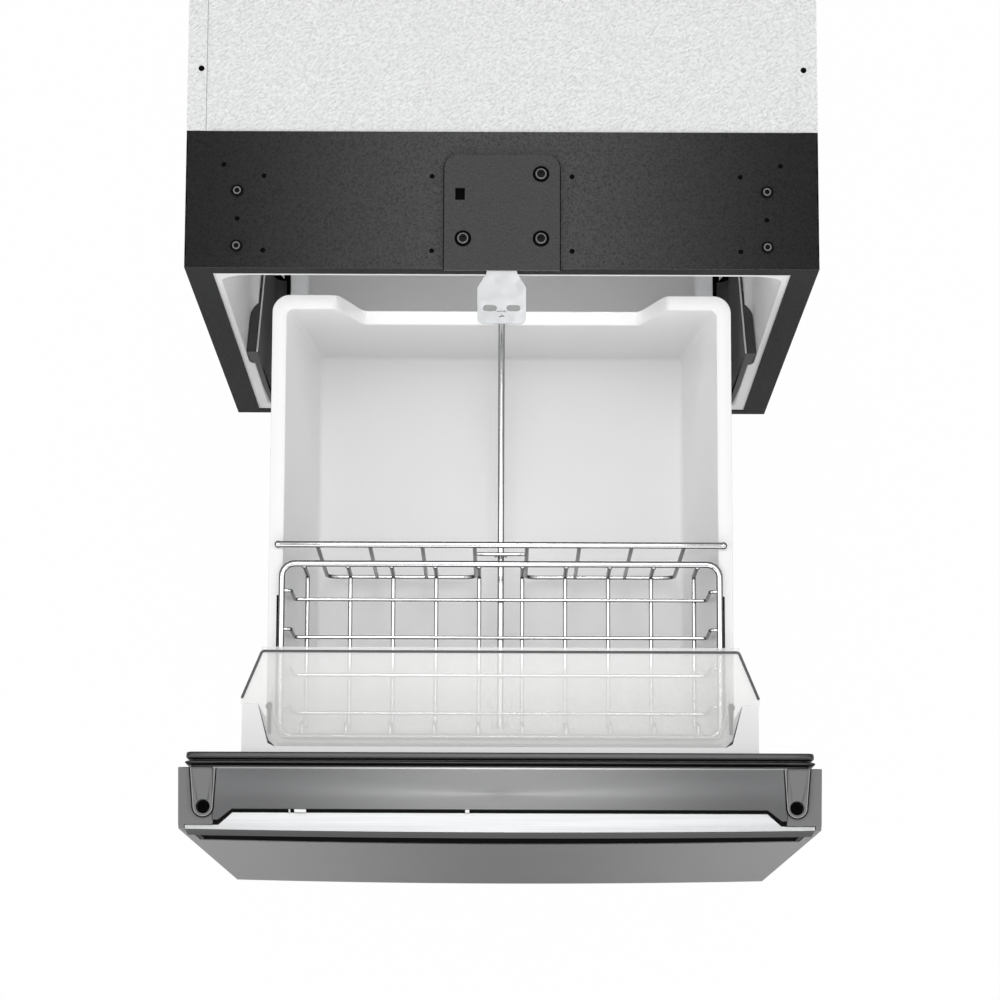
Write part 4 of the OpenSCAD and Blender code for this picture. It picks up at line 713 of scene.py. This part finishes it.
def tab_line_surface(side, out_by, radius):
    """A rod along the tab's outline, in the tab's own sloping plane: down one side, round the
    screw on a half circle, and back up the other."""
    top_y, screw_y, flare, slope = -475.2, -510, 2.5, 0.1708
    tab_x, tab_half, edge_y, edge_z = 275.5, 9, -474, 865.2
    across = tab_half + out_by
    turn = np.linspace(np.pi, 2 * np.pi, 25)
    plan = np.vstack([[[-across - flare, top_y]],
                      np.stack([across * np.cos(turn), screw_y + across * np.sin(turn)], 1),
                      [[across + flare, top_y]]])
    height = edge_z + slope * (plan[:, 1] - edge_y)
    path = np.stack([side * tab_x + plan[:, 0], plan[:, 1], height], 1)
    flat = np.array([0, -slope, 1]) / math.hypot(1, slope)
    return rod_surface(path, radius, flat, sides=8)


# Painted shade and highlight: a black rod outside the tab's edge and a light grey rod inside it.
for label, side in (("left", -1), ("right", 1)):
    groove, rim = tab_line_surface(side, 0.9, 0.5), tab_line_surface(side, -0.3, 0.5)
    new_piece(f"{label}_cap_groove_shade", [groove], socket_black, "drawer", sharp=60)
    new_piece(f"{label}_cap_rim_highlight", [rim], cap_line_highlight, "drawer", sharp=60)


def small_clip_surface(place, width):
    """A rounded bar: stacked rectangles with round corners that shrink at top and bottom."""
    near, far = -514.9, -512.1
    height = np.array([848.0, 848.4, 856.0, 856.5, 856.7])
    shrink = np.array([0.3, 0.0, 0.0, 0.15, 0.5])
    x, y = rounded_loops(width / 2 - shrink, near + shrink, far - shrink, 0.4, along=2, across=2,
                         turn=3)
    z = np.repeat(height[:, None], x.shape[1], 1)
    return closed_grid(np.stack([x + place, y, z], -1))


clips = [small_clip_surface(place, width)
         for place, width in ((-185.3, 11), (-195.2, 1.4), (-30.3, 4))]
new_piece("gap_clips", clips, clip_white, "drawer", sharp=40)


# ---------------------------------------------------------------------------
# Top of the cabinet: the drilled holes and notches are dark inside with painted shade, the
# button-head screws have a lighter grey ring, a line of painted shadow runs round the
# bracket's rounded edge on the rail, and the side sheet's fold has a seam drawn as a grey
# line of painted shadow.

light_screw_ring = grained("light grey screw ring", (0.13, 0.131, 0.133), 0.32, 300, 0.00005, shade=0.05)
seam_shadow_grey = grained("seam shadow", (0.30, 0.302, 0.305), 0.6, 300, 0.00004, shade=0.05)


def disc_surface(x, y, top, radius, steps=28):
    """A thin disc, rings shrinking over its top edge: a revolved profile."""
    height = np.array([top - 0.6, top - 0.08, top])
    reach = radius * np.array([1.0, 1.0, 0.97])
    angle = np.linspace(0, 2 * np.pi, steps, endpoint=False)
    grid = np.stack([x + reach[:, None] * np.cos(angle), y + reach[:, None] * np.sin(angle),
                     np.repeat(height[:, None], steps, 1)], -1)
    return closed_grid(grid)


def ring_surface(x, y, height, radius, tube, steps=28):
    """A ring, a round rod bent on a circle."""
    angle = np.linspace(0, 2 * np.pi, steps, endpoint=False)
    path = np.stack([x + radius * np.cos(angle), y + radius * np.sin(angle),
                     np.full(steps, height)], -1)
    return rod_surface(path, tube, (0, 0, 1), sides=10, closed=True)


def strip_surface(near, far, top, edge, other_edge):
    """A flat strip along the cabinet's depth, between two edges, barely above the sheet."""
    middle, half = (edge + other_edge) / 2, abs(edge - other_edge) / 2
    height = np.array([top - 0.3, top, top + 0.02])
    shrink = np.array([0.0, 0.0, 0.05])
    x, y = rounded_loops(half - shrink, near + shrink, far - shrink, 0.2, along=1, across=4, turn=2)
    return closed_grid(np.stack([x + middle, y, np.repeat(height[:, None], x.shape[1], 1)], -1))


# The top faces are at 870: the rail's holes get discs of painted shade from below it, and the other
# painted marks lie just above it.
holes_top, sheet_top = 869.8, 870.02
rail_holes = [(265.5, 101), (227, 90), (252, 48), (227, 17), (66.7, 90), (66.7, 17)]
rail_screw_places = [(side * 252.3, y) for y in (21, 75) for side in (-1, 1)]
bracket_screw_places = [(-37.1, 28.4), (37.1, 28.4), (37.1, 91.7)]
sheet_screw_x, sheet_screw_y = 288.5, 196
side_notches, notch_length, side_face = range(12, 137, 25), 12, 301.4
painted_hole_shade = [disc_surface(side * x, y, holes_top, 2.45) for x, y in rail_holes for side in (-1, 1)]
painted_hole_shade += [disc_surface(side * sheet_screw_x, sheet_screw_y, sheet_top + 0.03, 2.9)
               for side in (-1, 1)]
painted_hole_shade += [strip_surface(near, near + notch_length, sheet_top, side * side_face,
                             side * (side_face - 1.3))
               for near in side_notches for side in (-1, 1)]
# Dark discs at the bracket's counterbores, partly painted shadow round its screws, and painted
# shade in its square hole
painted_hole_shade += [disc_surface(x, y, 872.45, 7.9) for x, y in bracket_screw_places]
painted_hole_shade += [strip_surface(66.1, 77.9, sheet_top + 0.08, -44.5, -35.5)]
new_piece("hole_shadows", painted_hole_shade, socket_black, "cabinet", sharp=40)

# A lighter grey ring on each screw head.
screw_rings = [ring_surface(x, y, 872.5, 3.1, 0.9) for x, y in rail_screw_places]
screw_rings += [ring_surface(x, y, 874.3, 4.4, 0.95) for x, y in bracket_screw_places]
new_piece("screw_rings", screw_rings, light_screw_ring, "cabinet", sharp=60)

# Painted shadow: a black line on the rail round the bracket's rounded edge, for the shade of the
# gap under it.
line_half, line_end, line_back, line_z = 55.4, -1, 111, 870.1
bracket_shadow_path = bent_path([(-line_half, line_end, line_z), (-line_half, line_back, line_z),
                          (line_half, line_back, line_z), (line_half, line_end, line_z)],
                         13.4, turn=10)
new_piece("bracket_edge_shadow", [rod_surface(bracket_shadow_path, 0.55, (0, 0, 1), sides=10)],
          socket_black, "cabinet", sharp=60)
# Painted shadow: a grey line along the side sheet's fold.
new_piece("fold_seam_shadow", [strip_surface(135, 537, sheet_top, -283.4, -282.8)], seam_shadow_grey, "cabinet",
          sharp=40)


# ---------------------------------------------------------------------------
# Slide shrouds: dark moulded covers on the liner's side walls, below the white
# upper wall; their dark tone is also painted shade for the deep gap between bin and
# wall. Their top edge runs down toward the back and carries a light lip, a painted
# highlight, and black strips of painted shade lie on the floor beside the slides.

shroud_shade_grey = grained("shroud plastic with painted shade", (0.075, 0.075, 0.077), 0.5, 200, 0.00006, shade=0.006,
                      Specular_IOR_Level=0.15)
shroud_height, shroud_fall = 490, 0.88


def shroud_surface(side):
    """A thin upright plate with a foot, whose top edge falls by 0.88 mm for each mm of depth: a
    grid along the depth of rings that go round the plate's section."""
    depth = np.array([2.2, 3.0, 30, 60, 90, 120, 145, 146])
    top = shroud_height - shroud_fall * depth
    inner, outer = side * 258.4, side * 261.2
    high_outer = np.where(top > 425, side * 269.4, outer)
    corners = [(outer, 209.0), (side * 246, 209.0), (side * 246, 210.5), (side * 252, 214.5),
               (side * 256.5, 220.0), (inner, 228.0), (inner, top - 1), (inner + side * 0.8, top),
               (high_outer, top)]
    steps = len(depth)
    ring = np.stack([np.stack([np.broadcast_to(x, steps), depth, np.broadcast_to(z, steps)], -1)
                     for x, z in corners], 1)
    return closed_grid(ring)


def shroud_highlight_lip_surface(side):
    """A thin light bead, a straight rod along the shroud's top edge: a painted highlight."""
    depth = np.linspace(3, 145, 6)
    height = shroud_height + 0.6 - shroud_fall * depth
    return rod_surface(np.stack([np.full(6, side * 258.6), depth, height], -1), 0.9, (1, 0, 0),
                       sides=8)


# Dark plates whose tone is also painted shade for the gap between bin and wall.
both_shrouds = [shroud_surface(side) for side in (-1, 1)]
new_piece("slide_shroud_shade", both_shrouds, shroud_shade_grey, "cabinet", sharp=30)
# Painted shade: black strips on the liner floor beside the slides.
floor_shade_strips = [strip_surface(4, 250, 208.5, side * 258.2, side * 241.5) for side in (-1, 1)]
new_piece("slide_floor_shade_strips", floor_shade_strips, socket_black, "cabinet", sharp=40)
both_highlight_lips = [shroud_highlight_lip_surface(side) for side in (-1, 1)]
new_piece("slide_shroud_highlight_lips", both_highlight_lips, clip_white, "cabinet", sharp=60)


# ---------------------------------------------------------------------------
# Rim slots: a narrow slot along each side of the bin's rim, beside the basket,
# where the rim flexes when the basket is lifted out. No slot is cut: only its dark
# line shows, a black strip of painted shadow.

def slot_shadow_surface(side):
    """A flat black strip with round ends, barely above the rim's top face: painted shadow of the
    slot.
    """
    slot_x, near, far, rim_top = 212.1, -426, -305, 810
    height = rim_top + np.array([-0.4, 0.03, 0.06])
    shrink = np.array([0.0, 0.0, 0.1])
    x, y = rounded_loops(0.85 - shrink, near + shrink, far - shrink, 0.6, along=1, across=10,
                         turn=4)
    z = np.repeat(height[:, None], x.shape[1], 1)
    return closed_grid(np.stack([x + side * slot_x, y, z], -1))


both_slot_shadows = [slot_shadow_surface(side) for side in (-1, 1)]
new_piece("rim_slot_shadows", both_slot_shadows, socket_black, "drawer", sharp=40)


# ---------------------------------------------------------------------------
# Clear cover: one moulding in clear plastic, clipped over the front half of
# the basket. Its rear edge is cut, and a bead keeps its upper face from sagging.

def milky_sheet(name, color, cover, roughness):
    """Frosted clear sheet: a milky white that lets the rest of the light straight through; its
    haze and gloss vary a little."""
    made, tree, surface = fresh_material(name, Base_Color=(*color, 1), Specular_IOR_Level=0.35)
    at = node_for(tree, "ShaderNodeTexCoord", (-900, -150))
    cloud = node_for(tree, "ShaderNodeTexNoise", (-650, -150), Scale=9.0, Detail=2.0)
    haze = node_for(tree, "ShaderNodeMapRange", (-350, -150), To_Min=cover - 0.07,
                    To_Max=cover + 0.07)
    gloss = node_for(tree, "ShaderNodeMapRange", (-350, 150), To_Min=roughness - 0.05,
                     To_Max=roughness + 0.05)
    join(tree, (at, "Object", cloud, "Vector"),
         (cloud, 0, haze, "Value"), (haze, 0, surface, "Alpha"),
         (cloud, 0, gloss, "Value"), (gloss, 0, surface, "Roughness"))
    return made


cover_clear = milky_sheet("clear cover", (0.96, 0.96, 0.95), 0.42, 0.20)
dress(cover_clear, "clear_cover")
cut_edge_shade = grained("cut edge of clear sheet, painted shade", (0.10, 0.10, 0.101), 0.3, 200, 0.00003, shade=0.03,
                   Specular_IOR_Level=0.2)


def cover_bead_surface(points):
    """A thin bead, a round rod along a bent line on the plate's upper face."""
    plate_top = 818.4
    path = [(x, y, plate_top) for x, y in points]
    return rod_surface(bent_path(path, 3, turn=4), 1.45, (0, 0, 1), sides=12)


# Painted shade: the cover's cut rear edge is drawn as a dark grey rod.
rear_edge = [(-243.4, -403.7), (-225.2, -359.9), (225.2, -359.9), (243.4, -403.7)]
new_piece("cover_rear_edge", [cover_bead_surface(rear_edge)], cut_edge_shade, "drawer", sharp=60)
stiff_bead = [(-214, -400), (-213.5, -418), (-206, -441), (206, -441), (213.5, -418), (214, -400)]
new_piece("cover_bead", [cover_bead_surface(stiff_bead)], cover_clear, "drawer", sharp=60)


# ---------------------------------------------------------------------------
# Floor and light: a pale floor and sky that the camera sees as white, a soft
# lamp from above, one from the front, two to each side and a weak one inside.

floor_half = 6.0
floor_mesh = bpy.data.meshes.new("studio_floor")
floor_corners = [(-1, -1), (1, -1), (1, 1), (-1, 1)]
floor_mesh.from_pydata([(floor_half * x, floor_half * y, 0) for x, y in floor_corners], [],
                       [(0, 1, 2, 3)])
floor = bpy.data.objects.new("studio_floor", floor_mesh)
bpy.context.scene.collection.objects.link(floor)


def floor_white():
    """Pale paper: camera and clear-plastic rays see it near white, and gloss sees part of that, so
    its shadow is kept."""
    camera_share, gloss_share = 0.985, 0.25
    made, tree, surface = fresh_material("floor paper", Base_Color=(0.85, 0.85, 0.85, 1),
                                         Roughness=0.9)
    light = node_for(tree, "ShaderNodeEmission", (0, -200), Strength=1.0, Color=(1, 1, 1, 1))
    path = node_for(tree, "ShaderNodeLightPath", (-600, 300))
    seen = node_for(tree, "ShaderNodeMath", (-400, 300), operation="MAXIMUM")
    share = node_for(tree, "ShaderNodeMath", (-200, 300), operation="MULTIPLY")
    share.inputs[1].default_value = camera_share
    gloss = node_for(tree, "ShaderNodeMath", (-200, 100), operation="MULTIPLY")
    gloss.inputs[1].default_value = gloss_share
    either = node_for(tree, "ShaderNodeMath", (0, 300), operation="MAXIMUM")
    blend = node_for(tree, "ShaderNodeMixShader", (250, 0))
    join(tree, (path, "Is Camera Ray", seen, 0), (path, "Is Transmission Ray", seen, 1),
         (seen, 0, share, 0), (path, "Is Glossy Ray", gloss, 0),
         (share, 0, either, 0), (gloss, 0, either, 1), (either, 0, blend, "Fac"),
         (surface, 0, blend, 1), (light, 0, blend, 2),
         (blend, 0, tree.nodes["Material Output"], "Surface"))
    return made


floor_mesh.materials.append(floor_white())

world = bpy.data.worlds.new("studio")
bpy.context.scene.world = world
world.use_nodes = True
sky_tree = world.node_tree
sky = sky_tree.nodes["Background"]
sky.inputs["Color"].default_value = (1, 1, 1, 1)
sky.inputs["Strength"].default_value = 0.43
path = node_for(sky_tree, "ShaderNodeLightPath", (-600, 300))
shown = node_for(sky_tree, "ShaderNodeBackground", (0, -200), Color=(1, 1, 1, 1))
both = node_for(sky_tree, "ShaderNodeMixShader", (300, 0))
either = node_for(sky_tree, "ShaderNodeMath", (0, 300), operation="MAXIMUM")
join(sky_tree, (path, "Is Camera Ray", either, 0), (path, "Is Transmission Ray", either, 1),
     (either, 0, both, "Fac"), (sky, 0, both, 1), (shown, 0, both, 2),
     (both, 0, sky_tree.nodes["World Output"], "Surface"))


def soft_lamp(name, at, aim, size, watts):
    """A rectangular area lamp at a place, turned to a point."""
    data = bpy.data.lights.new(name, "AREA")
    data.shape = "RECTANGLE"
    data.size, data.size_y = size
    data.energy = watts
    lamp = bpy.data.objects.new(name, data)
    lamp.location = at
    lamp.rotation_euler = (Vector(aim) - Vector(at)).to_track_quat("-Z", "Y").to_euler()
    bpy.context.scene.collection.objects.link(lamp)


soft_lamp("top lamp", (0, 0.5, 4.5), (0, -0.2, 0.7), (0.7, 2.8), 38)
soft_lamp("front lamp", (0, -3.4, 2.0), (0, -0.2, 0.6), (3.0, 2.0), 28)
soft_lamp("left lamp", (-2.2, -0.4, 3.5), (0, -0.2, 0.6), (1.6, 2.4), 21)
soft_lamp("right lamp", (2.2, -0.4, 3.5), (0, -0.2, 0.6), (1.6, 2.4), 17)
soft_lamp("low left lamp", (-2.8, -2.6, 1.9), (0.2, 0, 0.7), (1.6, 2.0), 20)
soft_lamp("low right lamp", (2.8, -2.6, 1.9), (-0.2, 0, 0.7), (1.6, 2.0), 20)
soft_lamp("inside lamp", (0, 0.07, 0.826), (0, 0.16, 0.3), (0.46, 0.05), 0.3)


# ---------------------------------------------------------------------------
# Camera: above and in front of the open drawer, looking steeply down. Its
# place, tilt, small roll and lens were fitted to the photograph.

focal_in_widths, eye_front, eye_height = 3.450, -0.782, 4.056
camera_data = bpy.data.cameras.new("photo camera")
camera_data.sensor_fit = "HORIZONTAL"
camera_data.sensor_width = 36.0
camera_data.lens = focal_in_widths * camera_data.sensor_width
camera_data.clip_end = 50.0
camera_data.shift_x = -0.001
camera = bpy.data.objects.new("photo camera", camera_data)
tilt, roll = math.radians(9.95), math.radians(0.2)
eye = Vector((0.0, eye_front + place_y, eye_height))
look = Vector((0.0, math.sin(tilt), -math.cos(tilt)))
up = Vector((0.0, math.cos(tilt), math.sin(tilt)))
turned = Matrix.Rotation(-roll, 3, look)
right, up = turned @ look.cross(up), turned @ up
camera.matrix_world = Matrix.Translation(eye) @ Matrix((right, up, -look)).transposed().to_4x4()
bpy.context.scene.collection.objects.link(camera)
bpy.context.scene.camera = camera
bpy.context.scene.view_settings.view_transform = "Standard"
